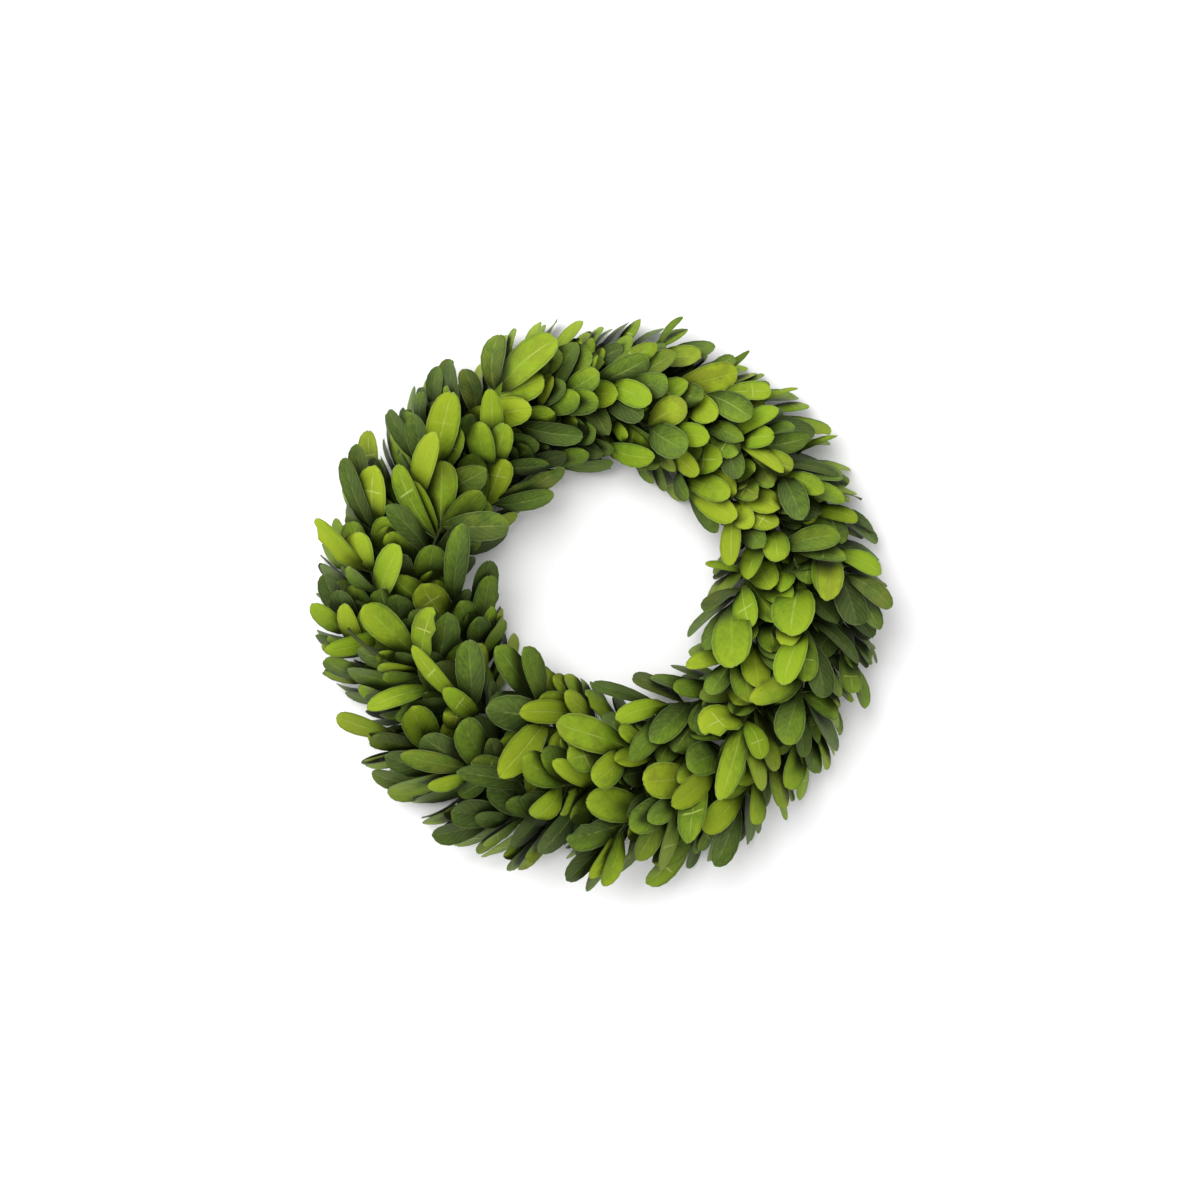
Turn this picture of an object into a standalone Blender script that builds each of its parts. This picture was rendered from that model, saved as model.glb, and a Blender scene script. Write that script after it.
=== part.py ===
"""Preserved boxwood wreath: leafy sprigs bound with thin wire onto a welded wire frame.

The wreath lies on its back. The origin is the middle of the foliage's outline on the surface it
rests on, +Z is the front, and +Y is the top as it hangs. Every leaf tip runs clockwise as seen from
the front, and the foliage is fuller at the bottom than at the top.

A place on the wreath is given by its run, the distance clockwise round the ring from +X, and by its
place in the ring's cross-section: across (away from the ring's middle circle, outwards) and height.
A lane is an angle in that section: 0 is the outer side, 90 the front and 180 the inner side.
"""

import math
import random

import bmesh
import bpy
from mathutils import Matrix, Vector
from mathutils.bvhtree import BVHTree

MM = 0.001

# The ring and its welded wire frame
RING_RADIUS = 67 * MM
RING_CENTRE = (0.5 * MM, 4 * MM)
RAIL_OFFSET = 8 * MM
RAIL_RADIUS = 1.1 * MM
RAIL_HEIGHT = 2.5 * MM
BAR_RADIUS = 1.0 * MM
BARS = 5
BAR_TURN = 7 / 16
RAIL_SEGMENTS = 36
RAIL_SIDES = 6
BAR_SIDES = 8

# The binding wire, as one turn's corners across the ring and above the surface
WIRE_RADIUS = 0.4 * MM
WIRE_TURNS = 25
WIRE_CORNERS = [
    (9.8 * MM, 0.7 * MM),
    (9.8 * MM, 3.3 * MM),
    (7.4 * MM, 6.7 * MM),
    (3.1 * MM, 8.6 * MM),
    (-3.1 * MM, 8.6 * MM),
    (-7.4 * MM, 6.7 * MM),
    (-9.8 * MM, 3.3 * MM),
    (-9.8 * MM, 0.7 * MM),
]

# The sprigs
SPRIGS = 50
SPRIG_STEP = 31
PAIR_STAGGER = 0.2
TWIG_RADIUS = 0.85 * MM
TWIG_SHARES = (0, 0.3, 0.65, 1.0)
BED_CENTRE = 4.4 * MM
BED_ACROSS = 6.4 * MM
BED_HEIGHT = 2.4 * MM
BED_CROWN = 0.96
TIP_CENTRE = 9 * MM
TIP_ACROSS = 22 * MM
TIP_HEIGHT = 20 * MM
TIP_LANES = (-5, 188)
FOOT_LENGTH = 13 * MM
LEAFY_LENGTH = 44 * MM
BEND_SHARE = 0.12
RISE_RUN = 5 * MM
OUTER_CROWDING = 1.2
FULLER_BELOW = 0.17
DRIFT = 9
OUTWARD_DRIFT = 8
REACH_RANGE = (0.93, 1.07)
LENGTH_RANGE = (0.93, 1.06)

# How far a sprig may be moved at each try, in steps across the bed and in metres along the ring
SHIFT_TRIES = 40
STEP_SHIFT = 0.15
RUN_SHIFT = 0.12 * MM

# The leaves: share of the leafy twig, yaw and pitch in degrees, and share of a full leaf's size
LEAF_SITES = [
    (0.97, 0, 3, 0.95),
    (0.9, 30, 10, 1.0),
    (0.9, -30, 13, 1.0),
    (0.73, 43, 11, 1.06),
    (0.73, -43, 14, 1.06),
    (0.54, 36, 12, 1.0),
    (0.54, -36, 15, 1.0),
    (0.34, 8, 17, 0.95),
]
LOWEST_SHARE = 0.5
LEAF_LENGTH = 23.7 * MM
LEAF_WIDTH = 10.4 * MM
LEAF_THICKNESS = 0.64 * MM
LEAF_STATIONS = [(0.0, 0.0), (0.34, 0.41), (0.69, 0.5), (1.0, 0.18)]
LEAF_ARCH = 1.6 * MM
LEAF_GAP = 0.15 * MM
TWIG_GAP = 0.25 * MM
LEAF_CURL_RADIUS = 26 * MM
PETIOLE_SHARE = 0.16
ROOT_OFFSET = 0.4 * MM
OUTWARD_YAW = 16
SIDE_PITCH = 5
UPWARD_LEAN = 0.7
YAW_SCATTER = 9
PITCH_RANGE = (-2, 4)
ROLL_SCATTER = 9
SIZE_RANGE = (0.88, 1.14)
SLIMNESS_RANGE = (0.92, 1.08)
ARCH_RANGE = (-0.2, 1.2)
NEAR = 1.2 * LEAF_LENGTH
FLOOR_GAP = 0.6 * MM
HOLE_RADIUS = 36 * MM
HOLE_RISE = 5 * MM
OUTER_RADIUS = 102 * MM

# What a leaf tries when its first place is taken: more yaw, more pitch, share of its size
BEND_TRIES = [
    (0, 0, 1.0),
    (0, 4, 1.0),
    (0, -4, 1.0),
    (8, 0, 1.0),
    (-8, 0, 1.0),
    (8, 4, 1.0),
    (-8, 4, 1.0),
    (0, 8, 0.97),
    (14, 2, 0.95),
    (-14, 2, 0.95),
    (8, -4, 0.95),
    (-8, -4, 0.95),
    (0, 12, 0.92),
    (14, 8, 0.9),
    (-14, 8, 0.9),
    (22, 0, 0.9),
    (-22, 0, 0.9),
    (0, -8, 0.85),
    (12, 14, 0.82),
    (-12, 14, 0.82),
]

# The finishes: colour, roughness and metallic
PAINTED_FRAME = ("frame_paint", (0.05, 0.08, 0.04), 0.45, 0.3)
PAINTED_WIRE = ("wire_paint", (0.06, 0.1, 0.04), 0.4, 0.6)
FOLIAGE = [
    ("leaf_mid_green", (0.13, 0.26, 0.03), 0.5, 0.0),
    ("leaf_yellow_green", (0.32, 0.44, 0.04), 0.48, 0.0),
    ("leaf_dark_green", (0.06, 0.12, 0.035), 0.5, 0.0),
]

SEED = 7


def place(run, across, height):
    """The point at this run, distance across from the ring's middle circle and height."""
    angle = -run / RING_RADIUS
    reach = RING_RADIUS + across
    x, y = RING_CENTRE
    return Vector((x + reach * math.cos(angle), y + reach * math.sin(angle), height))


def outwards(run, lane):
    """The direction away from the ring's core at this run and lane angle."""
    angle = -run / RING_RADIUS
    level = math.cos(lane)
    return Vector((level * math.cos(angle), level * math.sin(angle), math.sin(lane)))


def fullness(run):
    """How full the foliage is here, as a share of its mean."""
    return 1 + FULLER_BELOW * math.sin(run / RING_RADIUS)


def wire_pitch():
    return 2 * math.pi * RING_RADIUS / WIRE_TURNS


def wire_share(lane):
    """How far round a turn of binding wire lies where it crosses this lane, from 0 to 1."""
    angles = [math.atan2(h - BED_CENTRE, a) for a, h in WIRE_CORNERS[1:7]]
    for corner in range(5):
        if lane <= angles[corner + 1]:
            part = (lane - angles[corner]) / (angles[corner + 1] - angles[corner])
            return (1 + corner + part) / len(WIRE_CORNERS)
    return 6 / len(WIRE_CORNERS)


class Sprig:
    """One twig's course: its foot lies in the bed on the frame, and it rises out of it to its tip.

    The sprigs step across the bed in an order that leaves the largest gaps between neighbours and
    closes on itself round the ring, with more of them on the longer outer side.
    """

    def __init__(self, number, attempt):
        draw = random.Random(SEED * 1000 + number)
        shift = random.Random(attempt)
        slot = (number * SPRIG_STEP) % SPRIGS + 0.5
        slot += attempt * shift.uniform(-STEP_SHIFT, STEP_SHIFT)
        share = min(max(slot / SPRIGS, 0), 1) ** OUTER_CROWDING
        across = BED_ACROSS * (1 - 2 * share)
        crown = BED_HEIGHT * math.sqrt(1 - BED_CROWN * (across / BED_ACROSS) ** 2)
        self.bed = (across, BED_CENTRE + crown)
        self.bed_lane = math.atan2(crown, across)
        low, high = TIP_LANES
        drift = draw.uniform(-DRIFT, DRIFT) - OUTWARD_DRIFT * math.sin(self.bed_lane)
        self.tip_lane = math.radians(low + (high - low) * share + drift)
        between = number // 2 + 0.5 + (number % 2 - 0.5) * PAIR_STAGGER
        turn = between + wire_share(self.bed_lane)
        rise = LEAFY_LENGTH * BEND_SHARE / 2 + RISE_RUN
        self.start = turn * wire_pitch() - rise + attempt * shift.uniform(-RUN_SHIFT, RUN_SHIFT)
        self.reach = draw.uniform(*REACH_RANGE)
        self.length = LEAFY_LENGTH * draw.uniform(*LENGTH_RANGE)

    def lane(self, share):
        return self.bed_lane + share * (self.tip_lane - self.bed_lane)

    def point(self, share):
        """The twig's centre: share is 0 where it leaves the bed and 1 at its tip, less at its foot."""
        if share <= 0:
            rise = 0
        elif share < BEND_SHARE:
            rise = share**2 / (2 * BEND_SHARE)
        else:
            rise = share - BEND_SHARE / 2
        rise /= 1 - BEND_SHARE / 2
        run = self.start + share * self.length
        reach = self.reach * fullness(run)
        across, height = self.bed
        across += rise * (reach * TIP_ACROSS * math.cos(self.tip_lane) - across)
        height += rise * (TIP_CENTRE + reach * TIP_HEIGHT * math.sin(self.tip_lane) - height)
        return place(run, across, height)

    def course(self):
        """The points of the twig's centreline, foot first."""
        return [self.point(share) for share in (-FOOT_LENGTH / self.length, *TWIG_SHARES)]

    def seat(self, share):
        """The point at this share on the straight run between two of the twig's points."""
        upper = next(i for i, corner in enumerate(TWIG_SHARES) if corner >= share)
        low, high = TWIG_SHARES[upper - 1], TWIG_SHARES[upper]
        return self.point(low).lerp(self.point(high), (share - low) / (high - low))

    def leaf_frame(self, share, yaw, pitch, roll, length):
        """A leaf's frame at its root: X across the blade, Y along it, Z out of its upper face.

        The leaves of neighbouring sprigs lie in nearly parallel planes, like shingles: each is
        pitched about the line across the lane, and then turned by its yaw within its own plane.
        At the ring's inner and outer sides they lean up, to face the front.
        """
        root = self.seat(share)
        along = (root - self.seat(share - 0.01)).normalized()
        lane = self.lane(share)
        out = outwards(self.start + share * self.length, lane)
        out.z += UPWARD_LEAN * abs(math.cos(lane))
        out = (out - along * out.dot(along)).normalized()
        side = along.cross(out)
        turn = length / 2 * math.sin(yaw) / LEAF_CURL_RADIUS + roll
        out, side = (
            out * math.cos(turn) + side * math.sin(turn),
            side * math.cos(turn) - out * math.sin(turn),
        )
        level = along * math.cos(pitch) + out * math.sin(pitch)
        normal = out * math.cos(pitch) - along * math.sin(pitch)
        ahead = level * math.cos(yaw) + side * math.sin(yaw)
        frame = Matrix((ahead.cross(normal), ahead, normal)).transposed().to_4x4()
        frame.translation = root + side * math.copysign(ROOT_OFFSET, yaw)
        return frame


def blade_points(frame, length, width, arch, lift, start=0.0):
    """The blade's outline, station by station, left then right, lift above its middle surface.

    The first station is moved to the share of the length given by start.
    """
    points = []
    for share, half in LEAF_STATIONS:
        if share < start:
            half = LEAF_STATIONS[1][1] * start / LEAF_STATIONS[1][0]
            share = start
        height = arch * 4 * share * (1 - share) + lift
        for side in (-half, half):
            points.append(frame @ Vector((side * width, share * length, height)))
    return points


def slab_faces():
    """The faces of a closed slab whose corners are a blade's outline above and below."""
    count = 2 * len(LEAF_STATIONS)
    faces = [(0, 1, count + 1, count), (count - 2, 2 * count - 2, 2 * count - 1, count - 1)]
    for i in range(0, count - 2, 2):
        faces.append((i, i + 2, i + 3, i + 1))
        faces.append((count + i, count + i + 1, count + i + 3, count + i + 2))
        faces.append((i, count + i, count + i + 2, i + 2))
        faces.append((i + 1, i + 3, count + i + 3, count + i + 1))
    return faces


def slab(leaf, gap, start=0.0):
    """The space a leaf takes up, with a gap all round, as a tree for the overlap test."""
    frame, length, width, arch = leaf
    lift = LEAF_THICKNESS / 2 + gap
    wide = width + 2 * gap
    points = blade_points(frame, length + gap, wide, arch, lift, start)
    points += blade_points(frame, length + gap, wide, arch, -lift, start)
    return BVHTree.FromPolygons(points, slab_faces())


def tube_tree(points, radius):
    """A tube round a line of points, as a tree for the overlap test."""
    corners = []
    faces = []
    for i, point in enumerate(points):
        along = (points[min(i + 1, len(points) - 1)] - points[max(i - 1, 0)]).normalized()
        side = along.cross(Vector((0, 0, 1))).normalized()
        rise = side.cross(along)
        for j in range(8):
            turn = j * math.pi / 4
            corners.append(point + radius * (side * math.cos(turn) + rise * math.sin(turn)))
    for i in range(0, len(corners) - 8, 8):
        for j in range(8):
            faces.append((i + j, i + (j + 1) % 8, i + 8 + (j + 1) % 8, i + 8 + j))
    return BVHTree.FromPolygons(corners, faces)


def lay_sprigs(frame_trees):
    """Each sprig, shifted until its twig is clear of the frame, the wire and the twigs before it."""
    sprigs = []
    twigs = []
    for number in range(SPRIGS):
        for attempt in range(SHIFT_TRIES):
            sprig = Sprig(number, attempt)
            tree = tube_tree(sprig.course(), TWIG_RADIUS + TWIG_GAP)
            if not any(other.overlap(tree) for other in frame_trees + twigs):
                break
        sprigs.append(sprig)
        twigs.append(tube_tree(sprig.course(), TWIG_RADIUS))
    return sprigs, twigs


def in_bounds(leaf):
    """Whether the blade stays above the surface, out of the hole and within the outer reach."""
    for point in blade_points(*leaf, 0):
        reach = math.hypot(point.x, point.y)
        middle = math.hypot(point.x - RING_CENTRE[0], point.y - RING_CENTRE[1] - HOLE_RISE)
        if point.z < FLOOR_GAP or middle < HOLE_RADIUS or reach > OUTER_RADIUS:
            return False
    return True


def lay_leaves(sprigs, twigs, frame_trees):
    """Each sprig's leaves, laid site by site round the ring. A leaf whose place is taken is bent clear."""
    laid = [[] for _ in sprigs]
    taken = []
    for number, (share, yaw, pitch, size) in enumerate(LEAF_SITES):
        for k, sprig in enumerate(sprigs):
            if share < LOWEST_SHARE and fullness(sprig.start) < 1:
                continue
            draw = random.Random((SEED * 1000 + k) * 100 + number)
            lane = sprig.lane(share)
            more_yaw = draw.uniform(-YAW_SCATTER, YAW_SCATTER) - OUTWARD_YAW * math.sin(lane)
            more_pitch = draw.uniform(*PITCH_RANGE) + SIDE_PITCH * abs(math.cos(lane))
            roll = math.radians(draw.uniform(-ROLL_SCATTER, ROLL_SCATTER))
            full = size * draw.uniform(*SIZE_RANGE) * math.sqrt(fullness(sprig.start))
            slim = draw.uniform(*SLIMNESS_RANGE)
            arch = LEAF_ARCH * draw.uniform(*ARCH_RANGE)
            solid = [twig for j, twig in enumerate(twigs) if j != k] + frame_trees
            for try_yaw, try_pitch, shrink in BEND_TRIES:
                length = LEAF_LENGTH * full * shrink
                turned = math.radians(yaw + more_yaw + try_yaw)
                raised = math.radians(pitch + more_pitch + try_pitch)
                frame = sprig.leaf_frame(share, turned, raised, roll, length)
                leaf = (frame, length, LEAF_WIDTH * full * slim * shrink, arch)
                if not in_bounds(leaf):
                    continue
                tree = slab(leaf, LEAF_GAP)
                blade = slab(leaf, LEAF_GAP, PETIOLE_SHARE)
                middle = frame @ Vector((0, length / 2, 0))
                if any(other.overlap(tree) for other in solid):
                    continue
                near = [t for t in taken if (t[1] - middle).length < NEAR]
                if any(t[2].overlap(tree) for t in near if t[0] != k):
                    continue
                if any(t[3].overlap(blade) for t in near if t[0] == k):
                    continue
                laid[k].append(leaf)
                taken.append((k, middle, slab(leaf, 0), slab(leaf, 0, PETIOLE_SHARE)))
                break
    return laid


def material(name, colour, roughness, metallic=0.0):
    made = bpy.data.materials.new(name)
    made.use_nodes = True
    shader = made.node_tree.nodes["Principled BSDF"]
    shader.inputs["Base Color"].default_value = (*colour, 1)
    shader.inputs["Roughness"].default_value = roughness
    shader.inputs["Metallic"].default_value = metallic
    return made


def new_object(name, data, collection):
    made = bpy.data.objects.new(name, data)
    collection.objects.link(made)
    return made


def mesh_of(obj):
    """The object's evaluated mesh, with its loose caps welded on."""
    bpy.context.view_layer.update()
    mesh = bpy.data.meshes.new_from_object(obj.evaluated_get(bpy.context.evaluated_depsgraph_get()))
    shape = bmesh.new()
    shape.from_mesh(mesh)
    bmesh.ops.remove_doubles(shape, verts=shape.verts, dist=0.001 * MM)
    shape.to_mesh(mesh)
    shape.free()
    return mesh


def tube(name, points, radius, collection):
    """A square-sided tube along the points, as a mesh."""
    curve = bpy.data.curves.new(name, "CURVE")
    curve.dimensions = "3D"
    curve.bevel_depth = radius
    curve.bevel_resolution = 0
    curve.use_fill_caps = True
    spline = curve.splines.new("POLY")
    spline.points.add(len(points) - 1)
    for target, point in zip(spline.points, points):
        target.co = (*point, 1)
    guide = new_object(name + "_line", curve, collection)
    mesh = mesh_of(guide)
    bpy.data.objects.remove(guide)
    mesh.name = name
    return new_object(name, mesh, collection)


def fuse(body, pieces):
    """Joins the pieces in this collection to the body, and removes them."""
    join = body.modifiers.new("join", "BOOLEAN")
    join.operation = "UNION"
    join.operand_type = "COLLECTION"
    join.collection = pieces
    joined = mesh_of(body)
    body.modifiers.clear()
    body.data = joined
    for piece in list(pieces.objects):
        bpy.data.objects.remove(piece)


def tree_of(obj):
    mesh = obj.data
    corners = [vertex.co for vertex in mesh.vertices]
    return BVHTree.FromPolygons(corners, [tuple(face.vertices) for face in mesh.polygons])


def make_frame(collection, pieces):
    """Two wire rails with cross bars welded under them. The bars' flat undersides rest on Z = 0."""
    rails = []
    for side in (1, -1):
        bpy.ops.mesh.primitive_torus_add(
            major_radius=RING_RADIUS + side * RAIL_OFFSET,
            minor_radius=RAIL_RADIUS,
            major_segments=RAIL_SEGMENTS,
            minor_segments=RAIL_SIDES,
            location=(*RING_CENTRE, RAIL_HEIGHT),
        )
        rails.append(bpy.context.object)
    for number in range(BARS):
        turns = number * WIRE_TURNS / BARS + BAR_TURN
        angle = -turns * wire_pitch() / RING_RADIUS
        bpy.ops.mesh.primitive_cylinder_add(
            vertices=BAR_SIDES,
            radius=BAR_RADIUS,
            depth=2 * (RAIL_OFFSET + RAIL_RADIUS),
        )
        bar = bpy.context.object
        flat = Matrix.Rotation(math.pi / BAR_SIDES, 4, "Z")
        lying = Matrix.Rotation(math.pi / 2, 4, "Y")
        where = place(turns * wire_pitch(), 0, BAR_RADIUS * math.cos(math.pi / BAR_SIDES))
        turned = Matrix.Rotation(angle, 4, "Z")
        bar.matrix_world = Matrix.Translation(where) @ turned @ lying @ flat
        rails.append(bar)
    for piece in rails:
        for home in piece.users_collection:
            home.objects.unlink(piece)
    frame, *others = rails
    frame.name = frame.data.name = "wire_frame"
    collection.objects.link(frame)
    for piece in others:
        pieces.objects.link(piece)
    bpy.context.view_layer.update()
    fuse(frame, pieces)
    frame.data.materials.append(material(*PAINTED_FRAME))
    return frame


def make_wire(collection):
    """One length of binding wire, wound round the frame and the sprigs' feet."""
    count = WIRE_TURNS * len(WIRE_CORNERS)
    points = []
    for i in range(count):
        across, height = WIRE_CORNERS[i % len(WIRE_CORNERS)]
        points.append(place(i / len(WIRE_CORNERS) * wire_pitch(), across, height))
    wire = tube("binding_wire", points, WIRE_RADIUS, collection)
    wire.data.materials.append(material(*PAINTED_WIRE))
    return wire


def make_blade(leaf, collection):
    """A leaf's blade: a strip with an arched run and a leaf's outline, given its thickness."""
    shape = bmesh.new()
    spans = len(LEAF_STATIONS) - 1
    bmesh.ops.create_grid(shape, x_segments=1, y_segments=spans, size=0.5)
    outline = blade_points(*leaf, 0)
    for vertex in shape.verts:
        station = round((vertex.co.y + 0.5) * spans)
        vertex.co = outline[2 * station + (vertex.co.x > 0)]
    bmesh.ops.remove_doubles(shape, verts=shape.verts, dist=0.001 * MM)
    bmesh.ops.recalc_face_normals(shape, faces=shape.faces)
    mesh = bpy.data.meshes.new("blade")
    shape.to_mesh(mesh)
    shape.free()
    blade = new_object("blade", mesh, collection)
    shell = blade.modifiers.new("thickness", "SOLIDIFY")
    shell.thickness = LEAF_THICKNESS
    shell.offset = 0


def make_sprig(number, sprig, leaves, finish, collection, pieces):
    """A twig with its leaves fused on, as one body."""
    body = tube(f"sprig_{number:02d}", sprig.course(), TWIG_RADIUS, collection)
    for leaf in leaves:
        make_blade(leaf, pieces)
    fuse(body, pieces)
    body.data.materials.clear()
    body.data.materials.append(finish)


def main():
    for old in list(bpy.data.objects):
        bpy.data.objects.remove(old)
    wreath = bpy.data.collections.new("wreath")
    pieces = bpy.data.collections.new("pieces_to_fuse")
    for collection in (wreath, pieces):
        bpy.context.scene.collection.children.link(collection)

    frame = make_frame(wreath, pieces)
    wire = make_wire(wreath)
    frame_trees = [tree_of(frame), tree_of(wire)]
    sprigs, twigs = lay_sprigs(frame_trees)
    laid = lay_leaves(sprigs, twigs, frame_trees)
    finishes = [material(*finish) for finish in FOLIAGE]
    for number, (sprig, leaves) in enumerate(zip(sprigs, laid)):
        finish = finishes[number % len(finishes)]
        make_sprig(number + 1, sprig, leaves, finish, wreath, pieces)
    bpy.data.collections.remove(pieces)


main()
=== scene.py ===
"""The looks of a small preserved boxwood wreath, lying on its back and seen from straight above."""

import math
import random

import bmesh
import bpy
import numpy as np
from mathutils import Matrix, Vector
from mathutils.bvhtree import BVHTree


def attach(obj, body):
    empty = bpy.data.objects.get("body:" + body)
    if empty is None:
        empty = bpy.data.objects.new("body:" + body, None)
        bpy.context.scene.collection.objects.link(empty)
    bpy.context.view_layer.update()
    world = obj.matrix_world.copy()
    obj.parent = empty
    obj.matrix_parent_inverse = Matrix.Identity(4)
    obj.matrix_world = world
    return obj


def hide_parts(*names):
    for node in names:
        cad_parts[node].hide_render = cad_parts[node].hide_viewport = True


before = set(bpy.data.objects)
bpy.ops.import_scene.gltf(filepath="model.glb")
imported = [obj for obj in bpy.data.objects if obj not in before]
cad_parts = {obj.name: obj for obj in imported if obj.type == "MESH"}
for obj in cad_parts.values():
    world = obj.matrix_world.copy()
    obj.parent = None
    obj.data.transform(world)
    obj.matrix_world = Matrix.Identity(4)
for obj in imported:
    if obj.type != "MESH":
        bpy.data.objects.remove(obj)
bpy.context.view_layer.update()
MM = 0.001

# The wreath lies on a white sheet and is photographed from straight above with a longish lens, so
# that 1200 pixels span 420 mm at the height where the foliage is widest.
VIEW_SPAN = 420 * MM
VIEW_HEIGHT = 18 * MM
VIEW_DISTANCE = 780 * MM
VIEW_CENTRE = (0.0, 0.3 * MM)
SENSOR_WIDTH = 36


def link(name, data):
    """A new object at the origin, in the scene."""
    made = bpy.data.objects.new(name, data)
    bpy.context.scene.collection.objects.link(made)
    return made


camera = link("camera", bpy.data.cameras.new("camera"))
camera.data.sensor_width = SENSOR_WIDTH
camera.data.lens = SENSOR_WIDTH * VIEW_DISTANCE / VIEW_SPAN
camera.location = (*VIEW_CENTRE, VIEW_HEIGHT + VIEW_DISTANCE)
bpy.context.scene.camera = camera
bpy.context.scene.view_settings.view_transform = "Standard"

# A plain white floor under soft studio light: a broad key light from the upper left, which leaves
# the hole's upper left and the wreath's lower right in soft shade, and a white room all round.
FLOOR_WIDTH = 16.0
FLOOR_COLOUR = (0.82, 0.82, 0.82)
FLOOR_ROUGHNESS = 0.9
ROOM_STRENGTH = 0.92
KEY_PLACE = (-0.5, 0.45, 1.15)
KEY_WIDTH = 1.1
KEY_POWER = 18


class Signal:
    """A shader socket that adds its Math node where it meets an operator."""

    def __init__(self, finish, socket):
        self.finish = finish
        self.socket = socket

    def maths(self, operation, *values):
        """A Math node on these values, which may be signals or numbers."""
        return self.finish.node("Math", {"operation": operation}, dict(enumerate(values)))

    def __add__(self, other):
        return self.maths("ADD", self, other)

    def __sub__(self, other):
        return self.maths("SUBTRACT", self, other)

    def __mul__(self, other):
        return self.maths("MULTIPLY", self, other)

    def __radd__(self, other):
        return self.maths("ADD", other, self)

    def __rsub__(self, other):
        return self.maths("SUBTRACT", other, self)

    def __rmul__(self, other):
        return self.maths("MULTIPLY", other, self)

    def __abs__(self):
        return self.maths("ABSOLUTE", self)

    def fract(self):
        return self.maths("FRACT", self)

    def sine(self):
        return self.maths("SINE", self)

    def rise(self, low, high):
        """0 up to low, 1 from high, and smooth between them; it falls where low is above high."""
        settings = {"interpolation_type": "SMOOTHSTEP"}
        return self.finish.node("MapRange", settings, {0: self, 1: low, 2: high})

    def axes(self):
        """The three parts of a vector."""
        split = self.finish.node("SeparateXYZ", {}, {0: self}).socket.node
        return [Signal(self.finish, output) for output in split.outputs]


class Finish:
    """A material as it is put together, node by node."""

    def __init__(self, name):
        self.material = bpy.data.materials.new(name)
        self.material.use_nodes = True
        self.tree = self.material.node_tree
        self.shader = self.tree.nodes["Principled BSDF"]

    def node(self, kind, settings, inputs, output=0):
        """Any node: its settings are set first, then its sockets, each by its name or number."""
        made = self.tree.nodes.new("ShaderNode" + kind)
        for name, value in settings.items():
            if name == "stops":
                self.set_stops(made.color_ramp, value)
            else:
                setattr(made, name, value)
        for key, value in inputs.items():
            self.feed(made.inputs[key], value)
        return Signal(self, made.outputs[output])

    def set_stops(self, ramp, stops):
        """Gives a ramp its places and colours; a new ramp has two stops."""
        for number, (place, colour) in enumerate(stops):
            stop = ramp.elements[number] if number < 2 else ramp.elements.new(place)
            stop.position = place
            stop.color = (*colour, 1)

    def feed(self, socket, value):
        """Links a signal to a socket, or sets the socket to a number or colour."""
        if isinstance(value, Signal):
            self.tree.links.new(value.socket, socket)
        elif socket.type == "RGBA" and len(value) == 3:
            socket.default_value = (*value, 1)
        else:
            socket.default_value = value

    def mix(self, share, first, second):
        """The first colour, with this share of the second."""
        settings = {"data_type": "RGBA"}
        return self.node("Mix", settings, {0: share, 6: first, 7: second}, output=2)

    def noise(self, where, scale, detail, roughness=0.5):
        """Cloudy values round 0.5, as many to the metre as the scale says."""
        inputs = {"Vector": where, "Scale": scale, "Detail": detail, "Roughness": roughness}
        return self.node("TexNoise", {}, inputs)

    def bump(self, height, distance, strength):
        """A relief of this height, from 0 to 1, over the distance."""
        inputs = {"Strength": strength, "Distance": distance, "Height": height}
        return self.node("Bump", {}, inputs)

    def coat(self, **sockets):
        """Sets or links the shader's sockets, with underscores for the spaces in their names."""
        for name, value in sockets.items():
            self.feed(self.shader.inputs[name.replace("_", " ")], value)
        return self.material


def object_place(finish):
    """Where a point lies on the piece, in metres, which is also its place in the wreath."""
    return finish.node("TexCoord", {}, {}, output="Object")


floor_mesh = bpy.data.meshes.new("floor")
half = FLOOR_WIDTH / 2
corners = [(-half, -half, 0), (half, -half, 0), (half, half, 0), (-half, half, 0)]
floor_mesh.from_pydata(corners, [], [(0, 1, 2, 3)])
floor = link("floor", floor_mesh)
sheet = Finish("white_sheet")
floor_mesh.materials.append(sheet.coat(Base_Color=FLOOR_COLOUR, Roughness=FLOOR_ROUGHNESS))

key = link("key_light", bpy.data.lights.new("key_light", "AREA"))
key.data.shape = "DISK"
key.data.size = KEY_WIDTH
key.data.energy = KEY_POWER
key.location = KEY_PLACE
key.rotation_euler = (-Vector(KEY_PLACE)).to_track_quat("-Z", "Y").to_euler()

room = bpy.data.worlds.new("white_room")
room.use_nodes = True
room.node_tree.nodes["Background"].inputs["Color"].default_value = (1, 1, 1, 1)
room.node_tree.nodes["Background"].inputs["Strength"].default_value = ROOM_STRENGTH
bpy.context.scene.world = room

# The frame is two rings of steel wire, one inside the other, spot-welded to five short bars that
# lie under them and carry the wreath. It was dipped in thin green paint, which pools at the welds.
RING_RADIUS = 67 * MM
RING_CENTRE = (0.5 * MM, 4 * MM)
RAIL_OFFSET = 8 * MM
RAIL_RADIUS = 1.1 * MM
RAIL_HEIGHT = 2.5 * MM
RAIL_STEPS, RAIL_SIDES = 180, 12
BARS = 5
BAR_RADIUS = 1.0 * MM
BAR_TURN = 7 / 16
BAR_FLAT = 0.924
BAR_STEPS = 9
WELD_RADIUS = 1.35 * MM
WELD_SINK = 0.5 * MM
WELD_LOWEST = 0.1 * MM
WELD_END = 1.02
WELD_STEPS, WELD_SIDES = 9, 10
WIRE_TURNS = 25
PITCH = 2 * math.pi * RING_RADIUS / WIRE_TURNS
WIRE_SHARP = 60
FRAME_GREEN, FRAME_STEEL = (0.03, 0.05, 0.022), (0.2, 0.19, 0.17)
FRAME_ROUGHNESS = 0.38
POOLED = 1.7


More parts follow.
